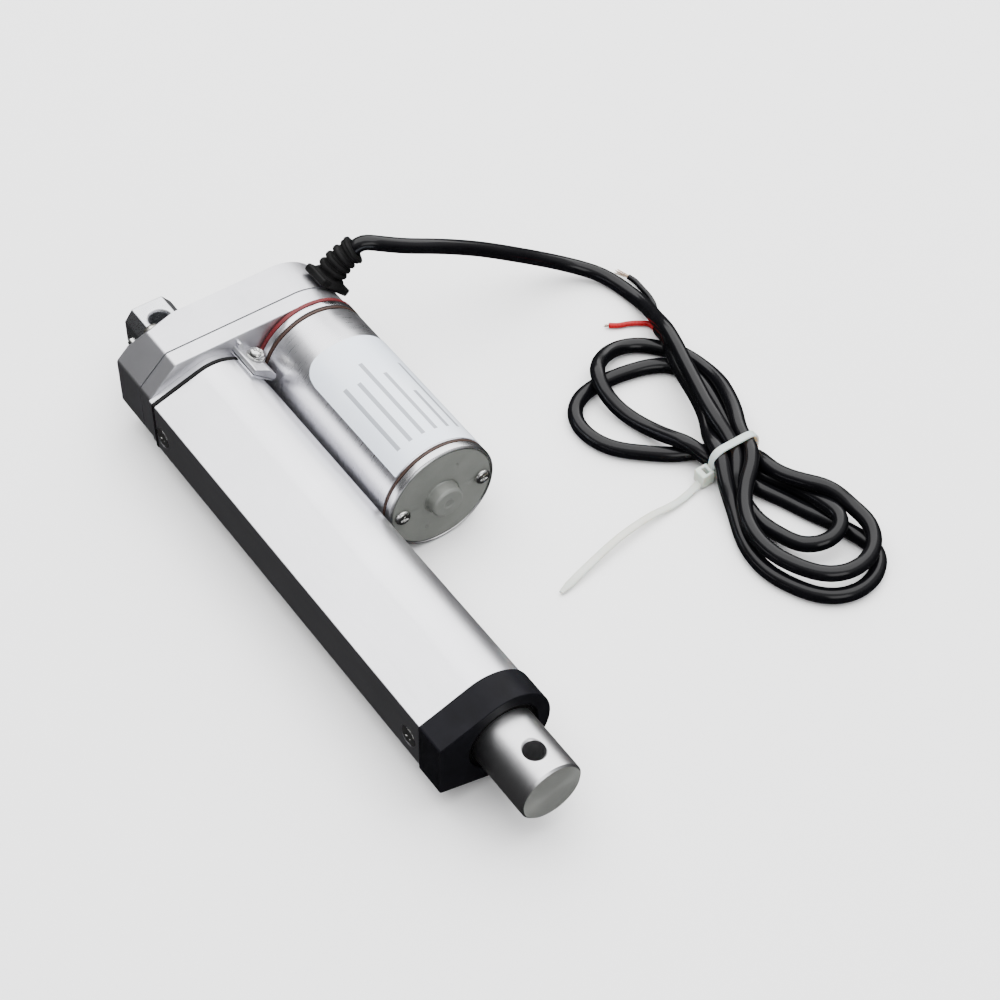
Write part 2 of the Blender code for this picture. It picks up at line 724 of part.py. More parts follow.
def armature_outline(poles=5, steps=4):
    """A slotted armature: a wide shoe on a narrow arm for each pole."""
    points = []
    for pole in range(poles):
        centre = 360 * pole / poles
        half = 360 / poles / 2
        points += arc(HUB_RADIUS, centre - half, centre - half * HUB_SHARE, 1)
        points.append(on_circle(ARM_RADIUS, centre - half * ARM_SHARE))
        points += arc(SHOE_RADIUS, centre - half * SHOE_SHARE, centre + half * SHOE_SHARE, steps)
        points.append(on_circle(ARM_RADIUS, centre + half * ARM_SHARE))
        points.append(on_circle(HUB_RADIUS, centre + half * HUB_SHARE))
    return points


def build_motor_inside():
    cylinder("motor_shaft", 0.0016, -0.1790, -0.0975, "machined_steel", MOTOR_Y, steps=20)
    section = (armature_outline(), circle(ARMATURE_BORE, 16))
    prism("motor_armature", section, *ARMATURE_REACH, "machined_steel", MOTOR_Y)
    ring("motor_commutator", 0.0045, ARMATURE_BORE, -0.1130, -0.1065, "copper", MOTOR_Y, steps=20)
    ring("brush_plate", 0.0167, 0.0052, -0.1050, -0.1030, "brown_fibre", MOTOR_Y)
    for index, side in enumerate((-1, 1), start=1):
        inner = side * 0.0048
        outer = side * 0.0085
        low_y, high_y = sorted((MOTOR_Y + inner, MOTOR_Y + outer))
        box(f"motor_brush_{index}", (-0.1125, low_y, -0.0015), (-0.1070, high_y, 0.0015), "carbon")
        magnet = shell_outline(0.0135, 0.0167, side * 90 - 58, side * 90 + 58, 12)
        prism(f"motor_magnet_{index}", (magnet,), -0.1530, -0.1150, "ferrite", MOTOR_Y)


# Strain relief, cord, hank and tie

def build_boot():
    """A ribbed strain relief on a square foot, leaning up and out from the gearbox's round end."""
    lean = BOOT_ANGLE - math.pi / 2
    base = (BOOT_X, MOTOR_Y, 0)
    foot_top = 0.0214
    profile = [(0, BOOT_TIP), (0.0034, BOOT_TIP), (0.0047, BOOT_TIP - 0.0012)]
    ribs = 4
    pitch = (BOOT_TIP - 0.0024 - foot_top) / ribs
    for rib in range(ribs):
        top = BOOT_TIP - 0.0024 - rib * pitch
        swell = 0.0047 - 0.0003 * rib
        profile += [(swell, top), (swell - 0.0011, top - pitch * 0.35), (swell - 0.0011, top - pitch * 0.60)]
    profile += [(0.0040, foot_top), (0.0040, foot_top - 0.0010), (0, foot_top - 0.0010)]
    boot = turned("strain_relief", profile, "black_rubber", base, (lean, 0, 0), 20)
    outward = Vector((0, math.cos(BOOT_ANGLE), math.sin(BOOT_ANGLE)))
    foot = box("strain_relief_foot", (-0.0050, -0.0066, BOOT_FOOT), (0.0050, 0.0066, foot_top), None, 0.0006)
    foot.location = Vector(base) + outward * ((BOOT_FOOT + foot_top) / 2)
    foot.rotation_euler = (lean, 0, 0)
    boolean(boot, foot, "UNION")


def smooth_route(points, spacing):
    """Points at an even spacing on a Catmull-Rom curve through the given ones."""
    knots = [Vector(point) for point in points]
    knots = [knots[0] * 2 - knots[1]] + knots + [knots[-1] * 2 - knots[-2]]
    fine = []
    for a, b, c, d in zip(knots, knots[1:], knots[2:], knots[3:]):
        for step in range(20):
            t = step / 20
            fine.append(0.5 * (2 * b + (c - a) * t + (2 * a - 5 * b + 4 * c - d) * t ** 2
                               + (3 * b - a - 3 * c + d) * t ** 3))
    fine.append(knots[-2])
    total = sum((q - p).length for p, q in zip(fine, fine[1:]))
    count = max(2, round(total / spacing))
    route = [fine[0]]
    travelled = 0
    for p, q in zip(fine, fine[1:]):
        travelled += (q - p).length
        if travelled >= total * len(route) / count - 1e-9:
            route.append(q)
    route[-1] = fine[-1]
    return route


def tube(name, points, radius, material, spacing, resolution=2):
    """A round cord along a smooth route, in world coordinates."""
    curve = bpy.data.curves.new(name, "CURVE")
    curve.dimensions = "3D"
    curve.bevel_depth = radius
    curve.bevel_resolution = resolution
    curve.use_fill_caps = True
    spline = curve.splines.new("POLY")
    route = smooth_route(points, spacing)
    spline.points.add(len(route) - 1)
    for point, place_at in zip(spline.points, route):
        point.co = (*place_at, 1)
    return place(bpy.data.objects.new(name, curve), (0, 0, 0), (0, 0, 0), material, None)


def build_cord():
    tube("cord_lead", LEAD_ROUTE, CORD_RADIUS, "cord_jacket", 0.0045, 3)
    tube("wire_black", BLACK_WIRE_ROUTE, WIRE_RADIUS, "cord_jacket", 0.003)
    tube("wire_red", RED_WIRE_ROUTE, WIRE_RADIUS, "red_insulation", 0.003)
    curve = flat_curve("cord_hank", (HANK_OUTLINE,), HANK_HEIGHT)
    hank = bpy.data.objects.new("cord_hank", curve)
    hank = as_mesh(place(hank, (0, 0, HANK_HEIGHT / 2), (0, 0, 0), "cord_jacket", None))
    half = TIE_WIDTH / 2 + GAP
    notch_top = TIE_THICKNESS + GAP
    notch = box("tie_notch", (TIE_X - half, 0.09, -0.002), (TIE_X + half, 0.13, notch_top), None, 0, None)
    boolean(hank, notch)


def build_tie():
    """A cable tie: a strap ring round the hank's waist, its head, and the tail lying on the floor."""
    low_y, high_y = TIE_Y
    top = HANK_HEIGHT + GAP + TIE_THICKNESS
    half = TIE_WIDTH / 2
    tie = box("cable_tie", (TIE_X - half, low_y - TIE_THICKNESS, 0),
              (TIE_X + half, high_y + TIE_THICKNESS, top), "white_nylon", 0, None)
    window = box("tie_window", (TIE_X - TIE_WIDTH, low_y, TIE_THICKNESS),
                 (TIE_X + TIE_WIDTH, high_y, HANK_HEIGHT + GAP), None, 0, None)
    boolean(tie, window)
    length, width, low_z, high_z = TIE_HEAD
    head_end = low_y - 0.0005
    head = box("tie_head", (TIE_X - width / 2, head_end - length, low_z),
               (TIE_X + width / 2, head_end, high_z), None, 0, None)
    boolean(tie, head, "UNION")
    curve = bpy.data.curves.new("tie_tail", "CURVE")
    curve.dimensions = "3D"
    curve.extrude = 0.0017
    curve.bevel_depth = 0.0005
    curve.bevel_resolution = 0
    curve.use_fill_caps = True
    curve.twist_mode = "Z_UP"
    spline = curve.splines.new("POLY")
    spline.points.add(len(TIE_TAIL) - 1)
    for point, position in zip(spline.points, TIE_TAIL):
        point.co = (*position, 1)
        point.tilt = math.pi / 2
    tail = place(bpy.data.objects.new("tie_tail", curve), (0, 0, 0), (0, 0, 0), None, None)
    boolean(tie, as_mesh(tail), "UNION")


build_tube()
build_cap()
build_rod()
build_screw_drive()
build_limit_switches()
build_rear_housing()
build_front_housing()
build_gearbox_hardware()
build_clevis()
build_gears()
build_motor_case()
build_label()
build_motor_inside()
build_boot()
build_cord()
build_tie()
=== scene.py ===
"""Looks of the electric linear actuator: cord, housings, motor, fasteners, materials and studio."""

import math

import bmesh
import bpy
import numpy as np
from mathutils import Matrix, Vector


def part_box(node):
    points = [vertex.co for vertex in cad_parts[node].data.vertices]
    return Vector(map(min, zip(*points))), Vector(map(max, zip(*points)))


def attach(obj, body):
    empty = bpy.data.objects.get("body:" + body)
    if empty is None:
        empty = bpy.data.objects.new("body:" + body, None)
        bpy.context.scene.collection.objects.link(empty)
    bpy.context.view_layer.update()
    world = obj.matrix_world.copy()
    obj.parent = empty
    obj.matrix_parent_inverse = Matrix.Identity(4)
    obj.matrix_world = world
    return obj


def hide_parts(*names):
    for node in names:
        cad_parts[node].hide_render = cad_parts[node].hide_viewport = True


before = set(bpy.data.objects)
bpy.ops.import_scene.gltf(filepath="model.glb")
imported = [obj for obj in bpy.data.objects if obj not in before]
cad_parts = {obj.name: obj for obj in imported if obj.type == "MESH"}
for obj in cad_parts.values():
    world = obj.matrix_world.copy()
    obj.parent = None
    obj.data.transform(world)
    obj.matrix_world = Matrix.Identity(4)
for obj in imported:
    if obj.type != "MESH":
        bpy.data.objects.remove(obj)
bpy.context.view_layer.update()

# Places read from the frame. Pieces are laid out from the rod's axis, with X = 0 at the rod's eye.
ROD_TIP = 0.0087
ROD_LOW, ROD_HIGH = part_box("push_rod")
AXIS = Vector((ROD_HIGH[0] - ROD_TIP, (ROD_LOW[1] + ROD_HIGH[1]) / 2, (ROD_LOW[2] + ROD_HIGH[2]) / 2))
CAN_LOW, CAN_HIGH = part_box("motor_can")
MOTOR_Y = (CAN_LOW[1] + CAN_HIGH[1]) / 2 - AXIS.y
LABEL_ROW = 0.24


def span(node):
    """A node's rear and front X, counted from the rod's eye."""
    low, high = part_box(node)
    return low[0] - AXIS.x, high[0] - AXIS.x


# Camera, where the photograph was taken from
CAMERA_PLACE = Vector((0.38859, -0.24042, 0.55593))
CAMERA_AZIMUTH = math.radians(53.825)
CAMERA_ELEVATION = math.radians(49.321)
CAMERA_ROLL = math.radians(1.22)
CAMERA_LENS = 86.1

# Cord facts
CORD_DIAMETER = 0.005
CORD_RADIUS = CORD_DIAMETER / 2
CORD_STEP = 0.002
BOOT_FOOT_ANGLE = math.radians(43)
BOOT_START = math.radians(58)
BOOT_END = math.radians(30)
BOOT_TURN = 0.34
BOOT_X = -0.1794
BOOT_BASE = 0.0182
BOOT_HEIGHT = 0.0152
TIE_X = 0.0328
TIE_LIFT = 0.0010
LAYER = (CORD_RADIUS + TIE_LIFT, CORD_RADIUS + TIE_LIFT + CORD_DIAMETER)
LANES = ((0.1040, 0.1091, 0.1142), (0.1036, 0.1087, 0.1138))


# ---------------------------------------------------------------- mesh helpers

def softened(points, radius, closed=True, steps=3):
    """The same outline with its corners rounded."""
    out = []
    count = len(points)
    for i, point in enumerate(points):
        p = Vector(point)
        if not closed and i in (0, count - 1):
            out.append(tuple(p))
            continue
        a, b = Vector(points[i - 1]), Vector(points[(i + 1) % count])
        to_a, to_b = a - p, b - p
        reach = min(radius, to_a.length * 0.45, to_b.length * 0.45)
        if reach < 1e-6 or to_a.normalized().dot(to_b.normalized()) < -0.985:
            out.append(tuple(p))
            continue
        start = p + to_a.normalized() * reach
        end = p + to_b.normalized() * reach
        for step in range(steps + 1):
            t = step / steps
            out.append(tuple(start * (1 - t) ** 2 + p * 2 * t * (1 - t) + end * t ** 2))
    return out


def arc(radius, start, end, steps, centre=(0.0, 0.0)):
    points = []
    for i in range(steps + 1):
        angle = math.radians(start + (end - start) * i / steps)
        points.append((centre[0] + radius * math.cos(angle), centre[1] + radius * math.sin(angle)))
    return points


def piece(name, mesh, location=AXIS, sharp=32):
    """A named object, smooth apart from its sharp edges."""
    mesh.validate()
    for polygon in mesh.polygons:
        polygon.use_smooth = True
    mesh.set_sharp_from_angle(angle=math.radians(sharp))
    obj = bpy.data.objects.new(name, mesh)
    bpy.context.scene.collection.objects.link(obj)
    obj.location = location
    return obj


def from_bmesh(name, work, location=AXIS, sharp=32):
    bmesh.ops.recalc_face_normals(work, faces=work.faces)
    mesh = bpy.data.meshes.new(name)
    work.to_mesh(mesh)
    work.free()
    return piece(name, mesh, location, sharp)


def rings(name, loops, closed_ends=True, cyclic=False, location=AXIS, sharp=32):
    """Skin over equal loops of points; a ring of rings if cyclic."""
    work = bmesh.new()
    rows = [[work.verts.new(point) for point in loop] for loop in loops]
    pairs = list(zip(rows, rows[1:]))
    if cyclic:
        pairs.append((rows[-1], rows[0]))
    for first, second in pairs:
        size = len(first)
        for i in range(size):
            work.faces.new((first[i], first[(i + 1) % size], second[(i + 1) % size], second[i]))
    if closed_ends and not cyclic:
        work.faces.new(rows[0])
        work.faces.new(list(reversed(rows[-1])))
    bmesh.ops.remove_doubles(work, verts=work.verts, dist=1e-7)
    return from_bmesh(name, work, location, sharp)


def lathe(name, profile, y=0.0, z=0.0, segments=128, closed=False, soften=0.0, location=AXIS):
    """Turn (x, radius) points about a line along X."""
    if soften:
        profile = softened(profile, soften, closed)
    loops = []
    for x, radius in profile:
        radius = max(radius, 1e-6)
        loops.append([(x, y + radius * math.cos(2 * math.pi * i / segments),
                       z + radius * math.sin(2 * math.pi * i / segments)) for i in range(segments)])
    return rings(name, loops, cyclic=closed, location=location)


def prism(name, outline, low, high, location=AXIS):
    """An outline of (y, z) points extruded along X."""
    loops = [[(x, y, z) for y, z in outline] for x in (low, high)]
    return rings(name, loops, location=location)


def block(name, low, high, location=AXIS):
    outline = [(low[1], low[2]), (high[1], low[2]), (high[1], high[2]), (low[1], high[2])]
    return prism(name, outline, low[0], high[0], location)


def cut(obj, cutter, operation="DIFFERENCE"):
    """Cut or join with a guide that isn't shown."""
    modifier = obj.modifiers.new(operation.lower(), "BOOLEAN")
    modifier.operation = operation
    modifier.object = cutter
    cutter.hide_render = True
    cutter.hide_viewport = True
    return obj


def bevel(obj, width, segments=3, angle=32):
    modifier = obj.modifiers.new("rounding", "BEVEL")
    modifier.width = width
    modifier.segments = segments
    modifier.limit_method = "ANGLE"
    modifier.angle_limit = math.radians(angle)
    return obj


def settled(obj):
    """Keep the result of an object's modifiers as its own mesh, with its flat faces shaded flat."""
    for polygon in obj.data.polygons:
        polygon.use_smooth = True
    weighted = obj.modifiers.new("weighted", "WEIGHTED_NORMAL")
    weighted.keep_sharp = True
    weighted.weight = 80
    bpy.context.view_layer.update()
    evaluated = obj.evaluated_get(bpy.context.evaluated_depsgraph_get())
    mesh = bpy.data.meshes.new_from_object(evaluated)
    obj.modifiers.clear()
    obj.data = mesh
    return obj


def show(obj, material, body, nodes=()):
    """Give a piece its material and body, and let it stand for its CAD nodes."""
    obj.data.materials.clear()
    obj.data.materials.append(material)
    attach(obj, body)
    if nodes:
        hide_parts(*nodes)
    return obj


# ---------------------------------------------------------------- materials

def new_material(name, colour, roughness, metallic=0.0, **sockets):
    material = bpy.data.materials.new(name)
    material.use_nodes = True
    shader = material.node_tree.nodes["Principled BSDF"]
    shader.inputs["Base Color"].default_value = (*colour, 1.0)
    shader.inputs["Roughness"].default_value = roughness
    shader.inputs["Metallic"].default_value = metallic
    for socket, value in sockets.items():
        shader.inputs[socket.replace("_", " ")].default_value = value
    return material


def add_node(material, kind, **values):
    node = material.node_tree.nodes.new(kind)
    for key, value in values.items():
        if key in node.bl_rna.properties:
            setattr(node, key, value)
        else:
            node.inputs[key].default_value = value
    return node


def join_up(material, source, target):
    material.node_tree.links.new(source, target)


def coordinates(material, stretch=(1, 1, 1)):
    place = add_node(material, "ShaderNodeTexCoord")
    mapping = add_node(material, "ShaderNodeMapping")
    mapping.inputs["Scale"].default_value = stretch
    join_up(material, place.outputs["Object"], mapping.inputs["Vector"])
    return mapping.outputs["Vector"]


def ranged(material, source, low, high, from_low=0.3, from_high=0.7):
    node = add_node(material, "ShaderNodeMapRange")
    node.inputs["From Min"].default_value = from_low
    node.inputs["From Max"].default_value = from_high
    node.inputs["To Min"].default_value = low
    node.inputs["To Max"].default_value = high
    join_up(material, source, node.inputs["Value"])
    return node.outputs["Result"]


def tinted(material, source, first, second, low=0.3, high=0.7):
    node = add_node(material, "ShaderNodeValToRGB")
    ramp = node.color_ramp
    ramp.elements[0].position = low
    ramp.elements[0].color = (*first, 1)
    ramp.elements[1].position = high
    ramp.elements[1].color = (*second, 1)
    join_up(material, source, node.inputs["Fac"])
    return node.outputs["Color"]


def noise(material, vector, scale, detail=3.0, roughness=0.55):
    node = add_node(material, "ShaderNodeTexNoise")
    node.inputs["Scale"].default_value = scale
    node.inputs["Detail"].default_value = detail
    node.inputs["Roughness"].default_value = roughness
    join_up(material, vector, node.inputs["Vector"])
    return node.outputs["Fac"]


def bumped(material, height, strength, distance, previous=None):
    node = add_node(material, "ShaderNodeBump")
    node.inputs["Strength"].default_value = strength
    node.inputs["Distance"].default_value = distance
    join_up(material, height, node.inputs["Height"])
    if previous is not None:
        join_up(material, previous, node.inputs["Normal"])
    return node.outputs["Normal"]


def finish_with(material, colour=None, roughness=None, normal=None):
    shader = material.node_tree.nodes["Principled BSDF"]
    if colour is not None:
        join_up(material, colour, shader.inputs["Base Color"])
    if roughness is not None:
        join_up(material, roughness, shader.inputs["Roughness"])
    if normal is not None:
        join_up(material, normal, shader.inputs["Normal"])
    return material


def surface(name, light, dark, roughness, metallic=0.0, grain=900.0, stretch=(1, 1, 1), relief=0.15,
            depth=0.00004, blotch=60.0, **sockets):
    """A material with a fine grain in its relief and gloss, and slow blotches in its colour."""
    material = new_material(name, light, sum(roughness) / 2, metallic, **sockets)
    fine = noise(material, coordinates(material, stretch), grain, 4.0)
    slow = noise(material, coordinates(material), blotch, 4.0)
    colour = tinted(material, slow, dark, light)
    gloss = ranged(material, fine, roughness[0], roughness[1])
    return finish_with(material, colour, gloss, bumped(material, fine, relief, depth))


def turned_face(name, light, dark, roughness, metallic=1.0, centre=(0.0, 0.0), pitch=2400.0, relief=0.3,
                **sockets):
    """Metal with fine rings about a line along X, as a lathe leaves them."""
    material = new_material(name, light, sum(roughness) / 2, metallic, **sockets)
    place = add_node(material, "ShaderNodeTexCoord")
    split = add_node(material, "ShaderNodeSeparateXYZ")
    join_up(material, place.outputs["Object"], split.inputs["Vector"])
    flat = add_node(material, "ShaderNodeCombineXYZ")
    for axis, offset in (("Y", centre[0]), ("Z", centre[1])):
        shift = add_node(material, "ShaderNodeMath", operation="SUBTRACT")
        shift.inputs[1].default_value = offset
        join_up(material, split.outputs[axis], shift.inputs[0])
        join_up(material, shift.outputs[0], flat.inputs[axis])
    length = add_node(material, "ShaderNodeVectorMath", operation="LENGTH")
    join_up(material, flat.outputs["Vector"], length.inputs[0])
    rings_at = add_node(material, "ShaderNodeCombineXYZ")
    join_up(material, length.outputs["Value"], rings_at.inputs["X"])
    fine = noise(material, rings_at.outputs["Vector"], pitch, 3.0)
    slow = noise(material, coordinates(material), 90.0, 4.0)
    colour = tinted(material, slow, dark, light)
    gloss = ranged(material, fine, roughness[0], roughness[1])
    if "Anisotropic" in sockets:
        around = add_node(material, "ShaderNodeTangent", direction_type="RADIAL", axis="X")
        shader = material.node_tree.nodes["Principled BSDF"]
        join_up(material, around.outputs["Tangent"], shader.inputs["Tangent"])
    return finish_with(material, colour, gloss, bumped(material, fine, relief, 0.00003))


def maths(material, operation, first, second=0.0):
    node = add_node(material, "ShaderNodeMath", operation=operation)
    for socket, value in zip(node.inputs, (first, second)):
        if isinstance(value, (int, float)):
            socket.default_value = value
        else:
            join_up(material, value, socket)
    return node.outputs[0]


def label_material():
    """A plain pale sticker with rows of grey bars of uneven length: no lettering."""
    material = new_material("sticker", (0.80, 0.86, 0.94), 0.34, 0.0, Coat_Weight=0.35, Coat_Roughness=0.12)
    place = add_node(material, "ShaderNodeTexCoord")
    split = add_node(material, "ShaderNodeSeparateXYZ")
    join_up(material, place.outputs["Object"], split.inputs["Vector"])
    angle = maths(material, "ARCTAN2", split.outputs["Z"],
                  maths(material, "SUBTRACT", split.outputs["Y"], MOTOR_Y))
    row = maths(material, "DIVIDE", angle, LABEL_ROW)
    across = maths(material, "FRACT", row)
    uneven = add_node(material, "ShaderNodeTexWhiteNoise", noise_dimensions="1D")
    join_up(material, maths(material, "FLOOR", row), uneven.inputs["W"])
    reach = maths(material, "MULTIPLY_ADD", uneven.outputs["Value"], -0.018)
    reach.node.inputs[2].default_value = -0.122
    bar = maths(material, "MULTIPLY", maths(material, "GREATER_THAN", across, 0.34),
                maths(material, "LESS_THAN", across, 0.64))
    inside = maths(material, "MULTIPLY", maths(material, "GREATER_THAN", split.outputs["X"], reach),
                   maths(material, "LESS_THAN", split.outputs["X"], -0.1045))
    rows = maths(material, "MULTIPLY", maths(material, "GREATER_THAN", angle, LABEL_ROW * 3),
                 maths(material, "LESS_THAN", angle, LABEL_ROW * 9))
    ink = maths(material, "MULTIPLY", maths(material, "MULTIPLY", bar, inside), rows)
    slow = noise(material, coordinates(material), 28.0, 3.0)
    fine = noise(material, coordinates(material), 1400.0, 3.0)
    paper = tinted(material, slow, (0.70, 0.77, 0.88), (0.82, 0.87, 0.94))
    mix = add_node(material, "ShaderNodeMix", data_type="RGBA")
    join_up(material, maths(material, "MULTIPLY", ink, 0.8), mix.inputs[0])
    join_up(material, paper, mix.inputs[6])
    mix.inputs[7].default_value = (0.16, 0.17, 0.19, 1.0)
    gloss = ranged(material, fine, 0.30, 0.40)
    return finish_with(material, mix.outputs[2], gloss, bumped(material, fine, 0.06, 0.00002))


ALONG = (0.02, 1, 1)
ROUND_X = (1, 0.03, 0.03)

tube_metal = surface("satin_anodised", (0.84, 0.84, 0.87), (0.78, 0.78, 0.81), (0.30, 0.40), 1.0, 5200,
                     ALONG,
                     0.10, 0.00002, 35)
casting = surface("blasted_casting", (0.78, 0.78, 0.81), (0.70, 0.70, 0.73), (0.34, 0.46), 1.0, 3200,
                  relief=0.16, depth=0.00003, blotch=80)
rod_metal = surface("drawn_rod", (0.70, 0.70, 0.71), (0.64, 0.64, 0.65), (0.28, 0.36), 1.0, 4800, ROUND_X,
                    0.05, 0.00002, 120)
rod_face_metal = turned_face("turned_rod_face", (0.40, 0.41, 0.39), (0.36, 0.37, 0.35), (0.34, 0.46), 0.75,
                             relief=0.5, Anisotropic=0.85)
clevis_metal = surface("milled_clevis", (0.72, 0.73, 0.75), (0.62, 0.63, 0.66), (0.22, 0.38), 1.0, 4200,
                       (1, 0.05, 1), 0.14, 0.00003, 150)
zinc = surface("zinc_plate", (0.66, 0.66, 0.64), (0.54, 0.54, 0.52), (0.14, 0.26), 1.0, 2600, relief=0.12,
               blotch=420)
pale_zinc = surface("pale_zinc", (0.86, 0.84, 0.77), (0.74, 0.72, 0.66), (0.22, 0.36), 1.0, 2600,
                    relief=0.12,
                    blotch=420)
can_metal = surface("plated_can", (0.80, 0.80, 0.83), (0.74, 0.74, 0.77), (0.26, 0.34), 1.0, 3600, ROUND_X,
                    0.03, 0.00002, 45)
flange_metal = surface("turned_flange", (0.78, 0.78, 0.80), (0.68, 0.68, 0.70), (0.16, 0.28), 1.0, 5200,
                       (1, 0.02, 0.02), 0.14, 0.00002, 90)
end_paint = surface("grey_coat", (0.200, 0.208, 0.192), (0.175, 0.182, 0.168), (0.40, 0.52), 0.35, 2600,
                    relief=0.22, depth=0.00004, blotch=160)
rim_metal = turned_face("rolled_rim", (0.70, 0.70, 0.71), (0.60, 0.60, 0.61), (0.20, 0.32),
                        centre=(MOTOR_Y, 0.0))
cap_plastic = surface("moulded_cap", (0.006, 0.006, 0.008), (0.004, 0.004, 0.005), (0.34, 0.46), 0.0, 2600,
                      relief=0.12, depth=0.00003, blotch=140, Specular_IOR_Level=0.06)
black_rubber = surface("black_rubber", (0.006, 0.006, 0.006), (0.004, 0.004, 0.004), (0.46, 0.62), 0.0, 2200,
                       relief=0.16, depth=0.00004, blotch=200, Specular_IOR_Level=0.12)
jacket = surface("cord_jacket", (0.0030, 0.0030, 0.0038), (0.0020, 0.0020, 0.0026), (0.15, 0.21), 0.0, 500,
                 relief=0.02, depth=0.00003, blotch=90, Specular_IOR_Level=0.26)
red_fibre = surface("red_fibre", (0.120, 0.006, 0.009), (0.085, 0.004, 0.006), (0.48, 0.62), 0.0, 2400,
                    relief=0.25, depth=0.00004, blotch=380)
brown_fibre = surface("brown_fibre", (0.036, 0.015, 0.009), (0.024, 0.010, 0.006), (0.50, 0.66), 0.0, 2400,
                      relief=0.25, depth=0.00004, blotch=380)
tie_nylon = surface("tie_nylon", (0.66, 0.66, 0.60), (0.58, 0.58, 0.52), (0.30, 0.42), 0.0, 900, relief=0.05,
                    blotch=120, Transmission_Weight=0.12, Subsurface_Weight=0.25)
red_pvc = surface("red_pvc", (0.34, 0.004, 0.008), (0.26, 0.003, 0.006), (0.24, 0.34), 0.0, 1500,
                  relief=0.06,
                  blotch=200, Specular_IOR_Level=0.25)
tinned = surface("tinned_copper", (0.74, 0.66, 0.58), (0.60, 0.42, 0.30), (0.22, 0.36), 1.0, 2800,
                 relief=0.1,
                 blotch=700)
ground_steel = surface("ground_steel", (0.52, 0.53, 0.54), (0.44, 0.45, 0.46), (0.20, 0.34), 1.0, 4200,
                       ROUND_X,
                       0.14, 0.00002, 160)
gear_steel = surface("oiled_steel", (0.40, 0.41, 0.42), (0.30, 0.31, 0.32), (0.24, 0.40), 1.0, 2600,
                     relief=0.2, blotch=240)
acetal = surface("acetal", (0.76, 0.74, 0.66), (0.70, 0.68, 0.60), (0.36, 0.48), 0.0, 1800, relief=0.08,
                 blotch=180)
board_green = surface("solder_mask", (0.012, 0.15, 0.055), (0.008, 0.11, 0.040), (0.24, 0.36), 0.0, 1200,
                      relief=0.08, blotch=260)
phenolic = surface("phenolic", (0.22, 0.11, 0.045), (0.16, 0.08, 0.030), (0.40, 0.52), 0.0, 1600,
                   relief=0.15,
                   blotch=240)
copper = surface("copper", (0.80, 0.40, 0.24), (0.66, 0.30, 0.17), (0.22, 0.36), 1.0, 3200, relief=0.12,
                 blotch=300)
carbon = surface("carbon", (0.034, 0.034, 0.036), (0.022, 0.022, 0.024), (0.55, 0.72), 0.0, 2600, relief=0.3,
                 blotch=300)
ferrite = surface("ferrite", (0.060, 0.060, 0.064), (0.040, 0.040, 0.043), (0.50, 0.66), 0.0, 2400,
                  relief=0.3, blotch=240)
laminated = surface("laminations", (0.30, 0.31, 0.33), (0.22, 0.23, 0.24), (0.32, 0.46), 1.0, 2600,
                    (1, 0.02, 0.02), 0.4, 0.00005, 240)
brass = surface("brass", (0.76, 0.58, 0.28), (0.66, 0.48, 0.21), (0.20, 0.34), 1.0, 3200, relief=0.12,
                blotch=260)
sticker = label_material()


# ---------------------------------------------------------------- camera

def add_camera():
    camera = bpy.data.objects.new("camera", bpy.data.cameras.new("camera"))
    bpy.context.scene.collection.objects.link(camera)
    azimuth, elevation = CAMERA_AZIMUTH, CAMERA_ELEVATION
    back = Vector((math.sin(azimuth) * math.cos(elevation), -math.cos(azimuth) * math.cos(elevation),
                   math.sin(elevation)))
    right = Vector((math.cos(azimuth), math.sin(azimuth), 0))
    up = back.cross(right)
    level = Matrix((right, up, back)).transposed().to_4x4()
    camera.matrix_world = Matrix.Translation(CAMERA_PLACE) @ level @ Matrix.Rotation(CAMERA_ROLL, 4, "Z")
    camera.data.lens = CAMERA_LENS
    camera.data.sensor_width = 36.0
    camera.data.clip_start = 0.01
    bpy.context.scene.camera = camera


# ---------------------------------------------------------------- cord

# From the strain relief's tip to the hank, world metres
LEAD_ROUTE = (
    (-0.0777, 0.0452, 0.0430),
    (-0.0761, 0.0489, 0.0424),
    (-0.0747, 0.0530, 0.0407),
    (-0.0733, 0.0580, 0.0384),
    (-0.0721, 0.0632, 0.0366),
    (-0.0709, 0.0700, 0.0338),
    (-0.0699, 0.0848, 0.0255),
    (-0.0688, 0.0958, 0.0185),
    (-0.0674, 0.1072, 0.0111),
    (-0.0634, 0.1172, 0.0058),
    (-0.0561, 0.1250, 0.0030),
    (-0.0504, 0.1267, 0.0025),
    (-0.0410, 0.1279, 0.0027),
    (-0.0345, 0.1270, 0.0044),
    (-0.0265, 0.1241, 0.0078),
    (-0.0205, 0.1224, 0.0097),
    (-0.0143, 0.1204, 0.0110),
    (-0.0012, 0.1162, 0.0119),
    (0.0085, 0.1133, 0.0119),
    (0.0168, 0.1108, 0.0114),
    (0.0238, 0.1092, 0.0102),
)
# The last stretch, from the hank to the end of the jacket
END_ROUTE = (
    (0.0240, 0.1070, 0.0080),
    (0.0165, 0.1108, 0.0072),
    (0.0088, 0.1135, 0.0072),
    (-0.0005, 0.1157, 0.0073),
    (-0.0100, 0.1186, 0.0074),
    (-0.0155, 0.1210, 0.0068),
    (-0.0205, 0.1235, 0.0042),
    (-0.0258, 0.1256, 0.0026),
)


def lobe(centre, radius, first, last, way_out, way_back, heights):
    """One turn of the hank: out of the tie, round its end on an arc, and back."""
    turn = arc(radius, first, last, len(heights) - 1, centre)
    route = [Vector(point) for point in way_out]
    route += [Vector((x, y, z)) for (x, y), z in zip(turn, heights)]
    route += [Vector(point) for point in way_back]
    return route


def crossing(lane, layer):
    """The three points where a run passes through the tie."""
    y = LANES[layer][lane]
    return [Vector((TIE_X + dx, y, LAYER[layer])) for dx in (-0.003, 0.0, 0.003)]


